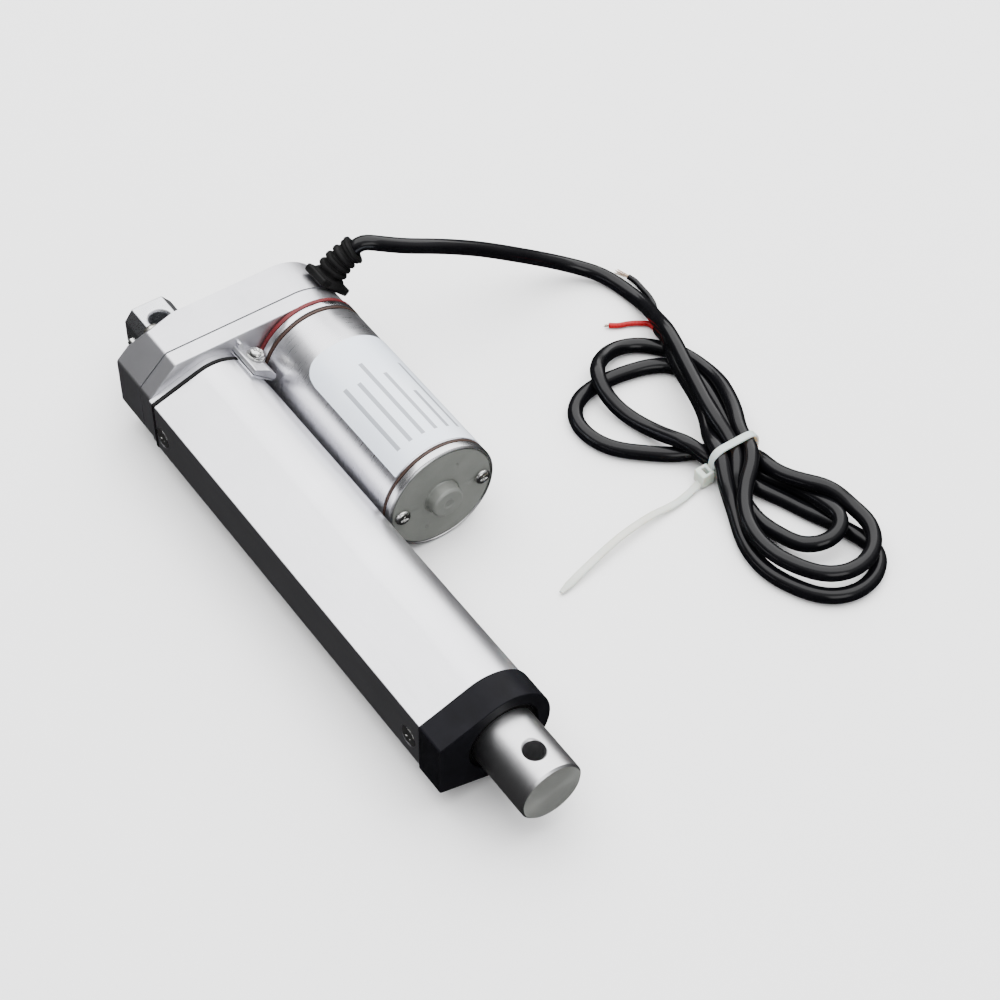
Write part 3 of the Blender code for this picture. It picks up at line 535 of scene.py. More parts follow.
def hank_route():
    """The hank's five lobes in the order in which the cord was folded."""
    floor, upper = [CORD_RADIUS] * 8, [CORD_RADIUS * 3] * 8
    route = crossing(1, 1)
    route += lobe((0.0679, 0.1106), 0.0091, -108, 90,
                  [(0.0390, 0.1040, 0.0044), (0.0460, 0.1014, 0.0027), (0.0525, 0.1004, 0.0025),
                   (0.0600, 0.1003, 0.0028)],
                  [(0.0605, 0.1182, 0.0070), (0.0542, 0.1172, 0.0042), (0.0456, 0.1145, 0.0026),
                   (0.0385, 0.1116, 0.0027)],
                  [0.0038, 0.0048, 0.0060, 0.0070, 0.0076, 0.0077, 0.0077, 0.0077])
    route += crossing(1, 0)[::-1]
    route += lobe((-0.0042, 0.0909), 0.0129, 290, 185,
                  [(0.0240, 0.1027, 0.0026), (0.0198, 0.0949, 0.0025), (0.0152, 0.0896, 0.0025),
                   (0.0104, 0.0842, 0.0025), (0.0055, 0.0802, 0.0025)],
                  [(-0.0173, 0.0980, 0.0025), (-0.0166, 0.1035, 0.0025), (-0.0153, 0.1095, 0.0025),
                   (-0.0133, 0.1152, 0.0025), (-0.0100, 0.1193, 0.0025), (-0.0050, 0.1212, 0.0025),
                   (0.0010, 0.1216, 0.0025), (0.0100, 0.1202, 0.0025), (0.0200, 0.1172, 0.0030)],
                  floor)
    route += crossing(2, 0)
    route += lobe((0.0750, 0.1098), 0.0148, 98, -75,
                  [(0.0390, 0.1132, 0.0056), (0.0457, 0.1136, 0.0075), (0.0560, 0.1172, 0.0086),
                   (0.0655, 0.1211, 0.0082)],
                  [(0.0750, 0.0934, 0.0075), (0.0690, 0.0923, 0.0075), (0.0626, 0.0925, 0.0075),
                   (0.0556, 0.0949, 0.0075), (0.0500, 0.0988, 0.0076), (0.0450, 0.1035, 0.0079),
                   (0.0395, 0.1085, 0.0084)],
                  upper)
    route += crossing(2, 1)[::-1]
    route += lobe((-0.0143, 0.1083), 0.0122, 132, 190,
                  [(0.0210, 0.1190, 0.0080), (0.0143, 0.1220, 0.0070), (0.0068, 0.1247, 0.0052),
                   (0.0002, 0.1260, 0.0034), (-0.0066, 0.1262, 0.0026), (-0.0130, 0.1247, 0.0025),
                   (-0.0182, 0.1218, 0.0025)],
                  [(-0.0243, 0.1010, 0.0048), (-0.0204, 0.0957, 0.0070), (-0.0152, 0.0924, 0.0074),
                   (-0.0066, 0.0918, 0.0044), (0.0012, 0.0938, 0.0029), (0.0088, 0.0955, 0.0038),
                   (0.0175, 0.0971, 0.0064), (0.0235, 0.0992, 0.0070), (0.0272, 0.1016, 0.0054)],
                  [0.0025, 0.0025, 0.0026, 0.0030, 0.0036])
    route += crossing(0, 0)
    route += lobe((0.0782, 0.1085), 0.0158, 62, -70,
                  [(0.0440, 0.1077, 0.0026), (0.0505, 0.1104, 0.0025), (0.0581, 0.1144, 0.0025),
                   (0.0657, 0.1172, 0.0025), (0.0728, 0.1196, 0.0025), (0.0797, 0.1218, 0.0025)],
                  [(0.0759, 0.0904, 0.0025), (0.0684, 0.0896, 0.0025), (0.0616, 0.0907, 0.0025),
                   (0.0558, 0.0930, 0.0025), (0.0505, 0.0957, 0.0028), (0.0455, 0.0979, 0.0044),
                   (0.0395, 0.1003, 0.0070)],
                  floor)
    route += crossing(0, 1)[::-1]
    return route


def boot_axis(height):
    """The strain relief's centre line: a point and its direction, counted from the rod's axis."""
    place = Vector((BOOT_X, MOTOR_Y + BOOT_BASE * math.cos(BOOT_FOOT_ANGLE),
                    BOOT_BASE * math.sin(BOOT_FOOT_ANGLE)))
    steps = 20
    for step in range(steps + 1):
        share = height / BOOT_HEIGHT * min(step + 0.5, steps) / steps
        angle = BOOT_START + (BOOT_END - BOOT_START) * share
        way = Vector((BOOT_TURN * share ** 2, math.cos(angle), math.sin(angle))).normalized()
        if step < steps:
            place += way * height / steps
    return place, way


def smooth(points, spacing):
    """Points at an even spacing on a Catmull-Rom curve through the given ones."""
    knots = [Vector(point) for point in points]
    knots = [knots[0] * 2 - knots[1]] + knots + [knots[-1] * 2 - knots[-2]]
    fine = []
    for a, b, c, d in zip(knots, knots[1:], knots[2:], knots[3:]):
        k1 = max((b - a).length, 1e-6) ** 0.5
        k2 = max((c - b).length, 1e-6) ** 0.5
        k3 = max((d - c).length, 1e-6) ** 0.5
        out_of = (b - a) / k1 - (c - a) / (k1 + k2) + (c - b) / k2
        into = (c - b) / k2 - (d - b) / (k2 + k3) + (d - c) / k3
        for step in range(24):
            t = step / 24
            fine.append(b * (2 * t ** 3 - 3 * t ** 2 + 1) + out_of * k2 * (t ** 3 - 2 * t ** 2 + t)
                        + c * (3 * t ** 2 - 2 * t ** 3) + into * k2 * (t ** 3 - t ** 2))
    fine.append(knots[-2])
    fine = np.array(fine)
    along = np.concatenate(([0], np.cumsum(np.linalg.norm(np.diff(fine, axis=0), axis=1))))
    count = max(2, round(along[-1] / spacing))
    places = np.linspace(0, along[-1], count + 1)
    return np.stack([np.interp(places, along, fine[:, i]) for i in range(3)], axis=1)


def settle(route, fixed, rounds=160):
    """Push runs of the cord apart where they touch, keep it on the floor and even out its bends."""
    points = route.copy()
    count = len(points)
    index = np.arange(count)
    apart = np.abs(index[:, None] - index[None, :]) > 5
    reach = CORD_DIAMETER * 1.01
    tie = np.abs(route[:, 0] - TIE_X) < 0.0035
    for _ in range(rounds):
        gap = points[:, None, :] - points[None, :, :]
        distance = np.sqrt((gap ** 2).sum(axis=2)) + 1e-9
        close = apart & (distance < reach)
        push = np.where(close, (reach - distance) / distance * 0.5, 0.0)
        shift = (gap * push[:, :, None]).sum(axis=1) / np.maximum(close.sum(axis=1), 1)[:, None]
        shift[:, 2] *= 1.2
        middle = (np.roll(points, 1, axis=0) + np.roll(points, -1, axis=0)) / 2
        ease = (middle - points) * 0.20
        pull = (route - points) * 0.06
        move = shift * 0.9 + ease + pull
        move[fixed] = 0
        points = points + move
        points[:, 2] = np.maximum(points[:, 2], np.where(tie, LAYER[0], CORD_RADIUS))
    return points


def even_out(points, fixed, rounds):
    """Smooth a route without letting its loops shrink: each small step in is followed by one out."""
    points = points.copy()
    for step in range(rounds * 2):
        middle = (np.roll(points, 1, axis=0) + np.roll(points, -1, axis=0)) / 2
        move = (middle - points) * (0.50 if step % 2 == 0 else -0.52)
        move[fixed] = 0
        points = points + move
    return points


def cord_curve(name, points, radius, sides=5):
    curve = bpy.data.curves.new(name, "CURVE")
    curve.dimensions = "3D"
    curve.bevel_depth = radius
    curve.bevel_resolution = sides
    curve.use_fill_caps = True
    spline = curve.splines.new("POLY")
    spline.points.add(len(points) - 1)
    for point, place in zip(spline.points, points):
        point.co = (*place, 1)
    spline.use_smooth = True
    obj = bpy.data.objects.new(name, curve)
    bpy.context.scene.collection.objects.link(obj)
    return obj


def build_cord():
    inside = [AXIS + boot_axis(height)[0] for height in (0.004, 0.008, 0.0115)]
    route = inside + [Vector(p) for p in LEAD_ROUTE] + hank_route() + [Vector(p) for p in END_ROUTE]
    route = smooth(route, CORD_STEP)
    fixed = np.zeros(len(route), dtype=bool)
    fixed[:10] = True
    fixed[-1] = True
    route = settle(even_out(route, fixed, 30), fixed)
    route = even_out(route, fixed, 8)
    route[:, 2] = np.maximum(route[:, 2], CORD_RADIUS)
    route = smooth(route, 0.0012)
    length = float(np.linalg.norm(np.diff(route, axis=0), axis=1).sum())
    cord = cord_curve("cable", route, CORD_RADIUS, 6)
    show(cord, jacket, "housing", ("cord_lead", "cord_hank"))
    return cord, length, route


def build_wires(end, heading):
    """Two insulated wires out of the jacket's end, the black one with bared strands."""
    black_route = [end - heading * 0.002, end + heading * 0.0015 + Vector((0, 0.0007, -0.0004)),
                   Vector((-0.0328, 0.1292, 0.0012)), Vector((-0.0366, 0.1316, 0.0011)),
                   Vector((-0.0408, 0.1328, 0.0011)), Vector((-0.0454, 0.1332, 0.0011)),
                   Vector((-0.0493, 0.1333, 0.0012)), Vector((-0.0518, 0.1325, 0.0016))]
    red_route = [end - heading * 0.002, end + heading * 0.0012 + Vector((0, -0.0007, -0.0008)),
                 Vector((-0.0306, 0.1250, 0.0011)), Vector((-0.0326, 0.1230, 0.0010)),
                 Vector((-0.0346, 0.1197, 0.0010)), Vector((-0.0360, 0.1162, 0.0010)),
                 Vector((-0.0377, 0.1138, 0.0010))]
    black = cord_curve("black_wire", smooth(black_route, 0.0008), 0.00095, 4)
    show(black, jacket, "housing", ("wire_black",))
    red = cord_curve("red_wire", smooth(red_route, 0.0008), 0.00090, 4)
    show(red, red_pvc, "housing", ("wire_red",))
    made = [black, red]
    tips = ((black_route[-1], Vector((-0.9, -0.42, 0.05)), 0.0046),
            (red_route[-1], Vector((-0.5, -0.86, 0)), 0.0012))
    for side, (root, way, reach) in enumerate(tips):
        for strand in range(7):
            angle = 2 * math.pi * strand / 6
            off = Vector((0, math.cos(angle), math.sin(angle))) * (0.0004 if strand < 6 else 0)
            spread = off * (1.5 if side == 0 else 1.0)
            first = root - way * 0.001 + off
            points = [first, root + way * reach * 0.5 + spread * 1.1, root + way * reach + spread * 1.4]
            wire = cord_curve(f"strand_{side}_{strand}", smooth(points, 0.0006), 0.00014, 2)
            show(wire, tinned, "housing", ())
            made.append(wire)
    return made


def build_tie(route):
    """The tie: a strap round the bundle, its ratchet head, and the ribbed tail on the floor."""
    near = route[np.abs(route[:, 0] - TIE_X) < 0.0016]
    low_y, high_y = near[:, 1].min() - CORD_RADIUS, near[:, 1].max() + CORD_RADIUS
    top = near[:, 2].max() + CORD_RADIUS
    half = 0.0013
    thick = 0.0008
    inner = softened([(low_y, 0.0010), (high_y, 0.0010), (high_y, top), (low_y, top)], 0.0040, steps=8)
    outer = softened([(low_y - thick, 0.0001), (high_y + thick, 0.0001), (high_y + thick, top + thick),
                      (low_y - thick, top + thick)], 0.0050, steps=8)
    edge = 0.0003
    loops = []
    for x, blend in ((-half, 0.25), (-half + edge, 0.0), (half - edge, 0.0), (half, 0.25)):
        loops.append([(TIE_X + x, a[0] * (1 - blend) + b[0] * blend, a[1] * (1 - blend) + b[1] * blend)
                      for a, b in zip(outer, inner)])
    for x, blend in ((half, 0.25), (half - edge, 0.0), (-half + edge, 0.0), (-half, 0.25)):
        loops.append([(TIE_X + x, b[0] * (1 - blend) + a[0] * blend, b[1] * (1 - blend) + a[1] * blend)
                      for a, b in zip(outer, inner)])
    strap = rings("tie_strap", loops, cyclic=True, location=(0, 0, 0))
    show(strap, tie_nylon, "housing", ("cable_tie",))
    head_low = (TIE_X - 0.0025, low_y - 0.0052, 0.0006)
    head_high = (TIE_X + 0.0022, low_y - 0.0004, 0.0056)
    head = block("tie_head", head_low, head_high, (0, 0, 0))
    slot_low = (TIE_X - 0.0014, low_y - 0.0032, -0.001)
    slot_high = (TIE_X + 0.0012, low_y - 0.0018, 0.007)
    cut(head, block("tie_slot", slot_low, slot_high, (0, 0, 0)))
    bevel(head, 0.0006, 3)
    show(settled(head), tie_nylon, "housing", ())
    tail_route = smooth([(TIE_X, low_y - 0.0034, 0.0022), (TIE_X + 0.0010, low_y - 0.0075, 0.0012),
                         (0.0352, 0.0852, 0.0010), (0.0358, 0.0742, 0.0024), (0.0376, 0.0614, 0.0032),
                         (0.0404, 0.0476, 0.0022), (0.0433, 0.0352, 0.0008)], 0.0006)
    loops = []
    for i, point in enumerate(tail_route):
        ahead = tail_route[min(i + 1, len(tail_route) - 1)] - tail_route[max(i - 1, 0)]
        side = Vector((ahead[1], -ahead[0], 0)).normalized()
        left = len(tail_route) - 1 - i
        width = 0.00125 if left > 6 else 0.00125 * (0.55 + 0.45 * left / 6)
        rib = 0.00052 if i % 2 else 0.00036
        centre = Vector(point)
        ring = [centre + side * width + Vector((0, 0, 0.00022)),
                centre + side * width * 0.8 + Vector((0, 0, rib)),
                centre - side * width * 0.8 + Vector((0, 0, rib)),
                centre - side * width + Vector((0, 0, 0.00022)),
                centre - side * width - Vector((0, 0, 0.00022)),
                centre - side * width * 0.8 - Vector((0, 0, 0.0004)),
                centre + side * width * 0.8 - Vector((0, 0, 0.0004)),
                centre + side * width - Vector((0, 0, 0.00022))]
        loops.append(ring)
    tail = rings("tie_tail", loops, location=(0, 0, 0), sharp=50)
    show(tail, tie_nylon, "housing", ())
    return [strap, head, tail]


def build_boot():
    """A ribbed strain relief that leans and bends with the cord, on a square foot."""
    sides = 48
    profile = [(0.0016, 0.0060), (0.0030, 0.0054), (0.0040, 0.0044)]
    ribs = 4
    for rib in range(ribs):
        low = 0.0040 + rib * 0.0026
        swell = 0.0050 - 0.0002 * rib
        profile += [(low + 0.0001, 0.0038), (low + 0.0008, 0.0037), (low + 0.0011, swell - 0.0002),
                    (low + 0.0014, swell), (low + 0.0020, swell), (low + 0.0024, swell - 0.0002)]
    profile += [(BOOT_HEIGHT - 0.0013, 0.0036), (BOOT_HEIGHT - 0.0012, 0.0046),
                (BOOT_HEIGHT - 0.0008, 0.0048),
                (BOOT_HEIGHT - 0.0002, 0.0046), (BOOT_HEIGHT, 0.0040), (BOOT_HEIGHT, 0.00256),
                (BOOT_HEIGHT - 0.0012, 0.00256)]
    loops = []
    for height, radius in profile:
        centre, along = boot_axis(height)
        third = along.cross(Vector((1, 0, 0))).normalized()
        across = third.cross(along)
        loops.append([centre + (across * math.cos(2 * math.pi * i / sides)
                                + third * math.sin(2 * math.pi * i / sides)) * radius for i in range(sides)])
    body = rings("strain_relief_body", loops, sharp=40)
    show(body, black_rubber, "housing", ("strain_relief",))
    foot = block("strain_relief_plate", (-0.0050, -0.0066, -0.0001), (0.0050, 0.0066, 0.0026), (0, 0, 0))
    bevel(foot, 0.0007, 3)
    settled(foot)
    centre = Vector((BOOT_X, MOTOR_Y + 0.0184 * math.cos(BOOT_FOOT_ANGLE),
                     0.0184 * math.sin(BOOT_FOOT_ANGLE)))
    turn = Matrix.Rotation(BOOT_FOOT_ANGLE - math.pi / 2, 4, "X")
    foot.data.transform(Matrix.Translation(centre) @ turn)
    foot.location = AXIS
    show(foot, black_rubber, "housing", ())
    return [body, foot]


def build_cord_group():
    boot = build_boot()
    cord, length, route = build_cord()
    end = Vector(route[-1])
    heading = (end - Vector(route[-4])).normalized()
    wires = build_wires(end, heading)
    tie = build_tie(route)
    tip = AXIS + boot_axis(BOOT_HEIGHT)[0]


# ---------------------------------------------------------------- tube, cap and rod

TUBE_RADIUS = 0.0150
TUBE_FLAT_Y = -0.0210
TUBE_FLAT_HALF = 0.0090
GASKET_THICKNESS = 0.0013


def tube_outline(grow=0.0, corner=0.0004):
    """A circle whose tangents run out to a narrow flat side."""
    radius, flat_y, half = TUBE_RADIUS + grow, TUBE_FLAT_Y - grow * 0.6, TUBE_FLAT_HALF + grow * 1.3
    tilt = math.degrees(math.atan2(half,
                                   flat_y)) - math.degrees(math.acos(radius / math.hypot(flat_y, half)))
    body = arc(radius, -tilt, tilt, 90)
    ends = softened([body[-2], (flat_y, half), (flat_y, -half), body[1]], corner, closed=False, steps=4)
    return body + ends[1:-1]


def eye_cutter(x, half_height):
    mouth = 0.0040
    hole = 0.0033
    flare = mouth - hole
    profile = [(-half_height - 0.002, mouth + 0.002), (-half_height, mouth), (-half_height + flare, hole),
               (half_height - flare, hole), (half_height, mouth), (half_height + 0.002, mouth + 0.002)]
    cutter = lathe("eye_cutter", profile, segments=64, location=(0, 0, 0))
    cutter.data.transform(Matrix.Rotation(-math.pi / 2, 4, "Y"))
    cutter.location = AXIS + Vector((x, 0, 0))
    return cutter


def pan_head(name, base, out, radius, height, shank, nodes, material, size=0.16):
    """A pan-head screw with a cross recess; base is a point on its seat and out points away from it."""
    profile = [(0, shank), (0, radius - 0.00008), (0.00008, radius), (height * 0.35, radius * 0.985),
               (height * 0.66, radius * 0.90), (height * 0.88, radius * 0.72),
               (height * 0.98, radius * 0.46),
               (height, 0.0)]
    profile = [(-0.004, 0.0), (-0.004, shank)] + profile
    screw = lathe(name, profile, segments=48, location=(0, 0, 0))
    for index in range(2):
        wide, thin = radius * 0.56, radius * size
        loops = []
        for x, reach in ((height * 0.30, 0.45), (height * 1.2, 1.12)):
            a, b = (wide * reach, thin * (0.6 + 0.4 * reach))
            if index:
                a, b = b, a
            loops.append([(x, a, b), (x, -a, b), (x, -a, -b), (x, a, -b)])
        cut(screw, rings(f"{name}_recess_{index}", loops, location=(0, 0, 0)))
    settled(screw)
    way = Vector(out).normalized().to_track_quat("X", "Z").to_matrix().to_4x4()
    screw.data.transform(Matrix.Translation(Vector(base)) @ way)
    screw.location = AXIS
    return show(screw, material, "housing", nodes)


def build_tube():
    rear, front = span("outer_tube")
    tube = prism("tube_body", tube_outline(), rear, front)
    cut(tube, lathe("tube_bore", [(rear - 0.01, 0.0129), (front + 0.01, 0.0129)]))
    cut(tube, block("tube_channel", (rear - 0.01, -0.0188, -0.0068), (front + 0.01, -0.0080, 0.0068)))
    for node in ("side_screw_front", "side_screw_rear"):
        low, high = span(node)
        x = (low + high) / 2
        z = (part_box(node)[0][2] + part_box(node)[1][2]) / 2 - AXIS.z
        well = lathe(node + "_well",
                     [(-0.004, 0.0017), (-0.0003, 0.0017), (-0.0003, 0.0035), (0.0002, 0.0037),
                                      (0.002, 0.0037)], segments=40, location=(0, 0, 0))
        well.data.transform(Matrix.Rotation(-math.pi / 2, 4, "Z"))
        well.location = AXIS + Vector((x, TUBE_FLAT_Y, z))
        cut(tube, well)
        pan_head(node + "_head", (x, TUBE_FLAT_Y + 0.00032, z), (0, -1, 0), 0.0033, 0.0007, 0.0014,
                 (node,), zinc)
    bevel(tube, 0.00022, 2)
    show(settled(tube), tube_metal, "housing", ("outer_tube",))
    rear, front = span("tube_gasket")
    bore = [(rear - 0.01, 0.0084), (front + 0.01, 0.0084)]
    gasket = prism("tube_gasket_body", tube_outline(0.0002), front - GASKET_THICKNESS, front)
    cut(gasket, lathe("gasket_bore", bore))
    bevel(gasket, 0.00025, 2)
    show(settled(gasket), black_rubber, "housing", ("tube_gasket",))
    seat = prism("tube_seat", tube_outline(-0.0003), rear - 0.0004, front - GASKET_THICKNESS - 0.00005)
    cut(seat, lathe("seat_bore", bore))
    bevel(seat, 0.00025, 2)
    show(settled(seat), casting, "housing", ())


def build_cap():
    rear, front = span("front_cap")
    cap = prism("cap_body", tube_outline(0.0006, 0.0007), rear, front)
    cut(cap, lathe("cap_bore", [(rear - 0.01, 0.0114), (front - 0.0004, 0.0114), (front + 0.0001, 0.0118),
                                (front + 0.01, 0.0118)]))
    bevel(cap, 0.0004, 3)
    show(settled(cap), cap_plastic, "housing", ("front_cap",))
    seal = [(rear, 0.0112), (front - 0.0007, 0.0112), (front - 0.0004, 0.0110), (front - 0.0009, 0.0108),
            (front - 0.0011, 0.0105), (front - 0.0003, 0.01038), (front - 0.0006, 0.01018), (rear, 0.01025)]
    show(lathe("wiper_lip", seal, closed=True, soften=0.0003), black_rubber, "housing", ("rod_wiper_seal",))


def build_rod():
    rear, front = span("push_rod")
    radius = 0.0100
    bore = 0.0082
    rows = [(front - 0.0015 - 0.0006 * i, radius) for i in range(24)]
    profile = [(front, 0.0), (front, radius - 0.0006), (front - 0.0006, radius)] + rows
    profile += [(rear, radius), (rear, bore), (-0.015, bore), (-0.015, 0.0)]
    rod = lathe("rod_body", profile, segments=160)
    cut(rod, eye_cutter(0.0, radius))
    bevel(rod, 0.00012, 2, 40)
    settled(rod)
    show(rod, rod_metal, "rod", ("push_rod",))
    rod.data.materials.append(rod_face_metal)
    for polygon in rod.data.polygons:
        if polygon.normal.x > 0.9 and polygon.center.x > front - 0.0004:
            polygon.material_index = 1


# ---------------------------------------------------------------- gearbox

HALF_HEIGHT = 0.01805


def gearbox_outline(corner=0.0008):
    left = [(-0.0104, HALF_HEIGHT), (-0.0204, 0.0087), (-0.0204, -0.0087), (-0.0104, -HALF_HEIGHT)]
    ends = softened([(0.02, HALF_HEIGHT)] + left + [(0.02, -HALF_HEIGHT)], corner, closed=False, steps=4)
    return ends[1:-1] + arc(HALF_HEIGHT, -90, 90, 72, (MOTOR_Y, 0))


def inner_outline():
    half = HALF_HEIGHT - 0.0025
    left = [(-0.0094, half), (-0.0179, 0.0077), (-0.0179, -0.0077), (-0.0094, -half)]
    return left + arc(half, -90, 90, 48, (MOTOR_Y, 0))


def corner_block(sign):
    """The oblique cut at the rear left corner."""
    a, b, c = (Vector((x, y, sign * z)) for x, y, z in
               ((-0.1906, 0.0022, 0.0180), (-0.1869, -0.0103, 0.0180), (-0.1898, -0.0154, 0.0132)))
    normal = (b - a).cross(c - a).normalized()
    if normal.x > 0:
        normal.negate()
    cutter = block("corner_cut", (0, -0.02, -0.02), (0.02, 0.02, 0.02), (0, 0, 0))
    cutter.data.transform(Matrix.Translation(a) @ normal.to_track_quat("X", "Z").to_matrix().to_4x4())
    cutter.location = AXIS
    return cutter


def build_rear_housing():
    rear, front = span("gearbox_rear_housing")
    housing = prism("rear_shell", gearbox_outline(), rear, front)
    cut(housing, prism("rear_hollow", inner_outline(), rear + 0.0025, front + 0.002))
    cut(housing, lathe("neck_hole", [(rear - 0.002, 0.0063), (rear + 0.004, 0.0063)], segments=64))
    cut(housing, corner_block(1))
    cut(housing, corner_block(-1))
    screws = []
    for index in range(1, 5):
        low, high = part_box(f"housing_screw_{index}")
        y, z = (low[1] + high[1]) / 2 - AXIS.y, (low[2] + high[2]) / 2 - AXIS.z
        screws.append((index, y, z))
        cut(housing, lathe(f"rear_hole_{index}", [(rear - 0.002, 0.0017), (rear + 0.004, 0.0017)], y, z, 32))
    low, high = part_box("housing_dowel")
    y, z = (low[1] + high[1]) / 2 - AXIS.y, (low[2] + high[2]) / 2 - AXIS.z
    pin_y, pin_z = y, z
    cut(housing, lathe("dowel_hole", [(rear - 0.004, 0.0015), (rear + 0.0018, 0.0015)], y, z, 32))
    bevel(housing, 0.00035, 3)
    show(settled(housing), casting, "housing", ("gearbox_rear_housing",))
    for index, y, z in screws:
        pan_head(f"cover_screw_{index}", (rear - 0.00004, y, z), (-1, 0, 0), 0.0030, 0.0024, 0.0014,
                 (f"housing_screw_{index}",), pale_zinc)
    dowel = [(rear - 0.0024, 0.0), (rear - 0.0022, 0.0008), (rear - 0.0016, 0.0013), (rear + 0.0012, 0.0014),
             (rear + 0.0012, 0.0)]
    show(lathe("dowel_tip", dowel, pin_y, pin_z, 40), zinc, "housing", ("housing_dowel",))


LUG_OUT = Vector((0, 0.0028, 0.0047)).normalized()
LUG_SEAT = Vector((-0.1644, 0.0136, 0.01236))


def build_front_housing():
    rear, front = span("gearbox_front_housing")
    front = -0.1700
    housing = prism("front_shell", gearbox_outline(), rear, front)
    cut(housing, prism("front_hollow", inner_outline(), rear - 0.002, -0.1730))
    cut(housing, lathe("bearing_hole", [(-0.1760, 0.0083), (front + 0.002, 0.0083)], segments=64))
    cut(housing, lathe("shaft_hole", [(-0.1760, 0.0035), (front + 0.002, 0.0035)], MOTOR_Y, 0, 48))
    bevel(housing, 0.00035, 3)
    show(settled(housing), casting, "housing", ("gearbox_front_housing",))
    upper = softened([(0.0090, 0.0134), (0.0100, 0.0145), (0.0147, 0.0117), (0.0166, 0.0089),
                      (0.0165, 0.0075),
                      (0.0158, 0.0070), (0.0128, 0.0099), (0.0097, 0.0127)], 0.0003)
    lower = softened([(0.0089, 0.0127), (0.0095, 0.0123), (0.0126, 0.0095), (0.0156, 0.0068),
                      (0.0152, 0.0066),
                      (0.0122, 0.0090), (0.0087, 0.0121)], 0.0002)
    lug = prism("clamp_lug_bar", upper, -0.1704, -0.1575)
    cut(lug, screw_hole("lug_hole"))
    bevel(lug, 0.0003, 3, 40)
    show(settled(lug), casting, "housing", ())
    under = prism("clamp_lug_lip", lower, -0.1704, -0.1578)
    bevel(under, 0.00012, 2, 40)
    show(settled(under), casting, "housing", ())
    rib = prism("clamp_lug_rib",
                softened([(0.0104, 0.0125), (0.0118, 0.0125), (0.0118, 0.0160), (0.0112, 0.0168),
                                           (0.0104, 0.0166)], 0.0004), -0.1704, -0.1678)
    bevel(rib, 0.0003, 3, 40)
    show(settled(rib), casting, "housing", ())
    washer = lathe("lug_washer", [(0.0, 0.0030), (0.0006, 0.0030), (0.0006, 0.0015), (0.0, 0.0015)],
                   closed=True,
                   soften=0.00012, segments=64, location=(0, 0, 0))
    way = LUG_OUT.to_track_quat("X", "Z").to_matrix().to_4x4()
    washer.data.transform(Matrix.Translation(LUG_SEAT + LUG_OUT * 0.0001) @ way)
    washer.location = AXIS
    show(washer, zinc, "housing", ("clamp_washer",))
    pan_head("lug_screw", LUG_SEAT + LUG_OUT * 0.00075, LUG_OUT, 0.0026, 0.0019, 0.0013, ("clamp_screw",),
             zinc)


def screw_hole(name):
    hole = lathe(name, [(-0.008, 0.0017), (0.008, 0.0017)], segments=32, location=(0, 0, 0))
    way = LUG_OUT.to_track_quat("X", "Z").to_matrix().to_4x4()
    hole.data.transform(Matrix.Translation(LUG_SEAT) @ way)
    hole.location = AXIS
    return hole


def build_clevis():
    rear, front = span("rear_clevis")
    front = -0.1903
    corners = ((0.0053, 0.00784), (-0.0053, 0.00784), (-0.0082, 0.0041), (-0.0082, -0.0041),
               (-0.0053, -0.00784),
               (0.0053, -0.00784), (0.0082, -0.0041), (0.0082, 0.0041))
    clevis = prism("clevis_block", softened(corners, 0.0003, steps=2), rear, front)
    cut(clevis, eye_cutter(-0.1998, 0.00784))
    neck = [(front - 0.0006, 0.0), (front - 0.0006, 0.0060), (-0.1872, 0.0060), (-0.1872, 0.0085),
            (-0.1853, 0.0085), (-0.1853, 0.0)]
    cut(clevis, lathe("clevis_shank", neck, segments=64), "UNION")
    bevel(clevis, 0.00035, 3)
    show(settled(clevis), clevis_metal, "housing", ("rear_clevis",))


# ---------------------------------------------------------------- motor

def motor_ring(name, node, outer, inner, material, soften=0.0002):
    rear, front = span(node)
    profile = [(rear, inner), (front, inner), (front, outer), (rear, outer)]
    return show(lathe(name, profile, MOTOR_Y, closed=True, soften=soften, segments=160), material, "housing",
                (node,))


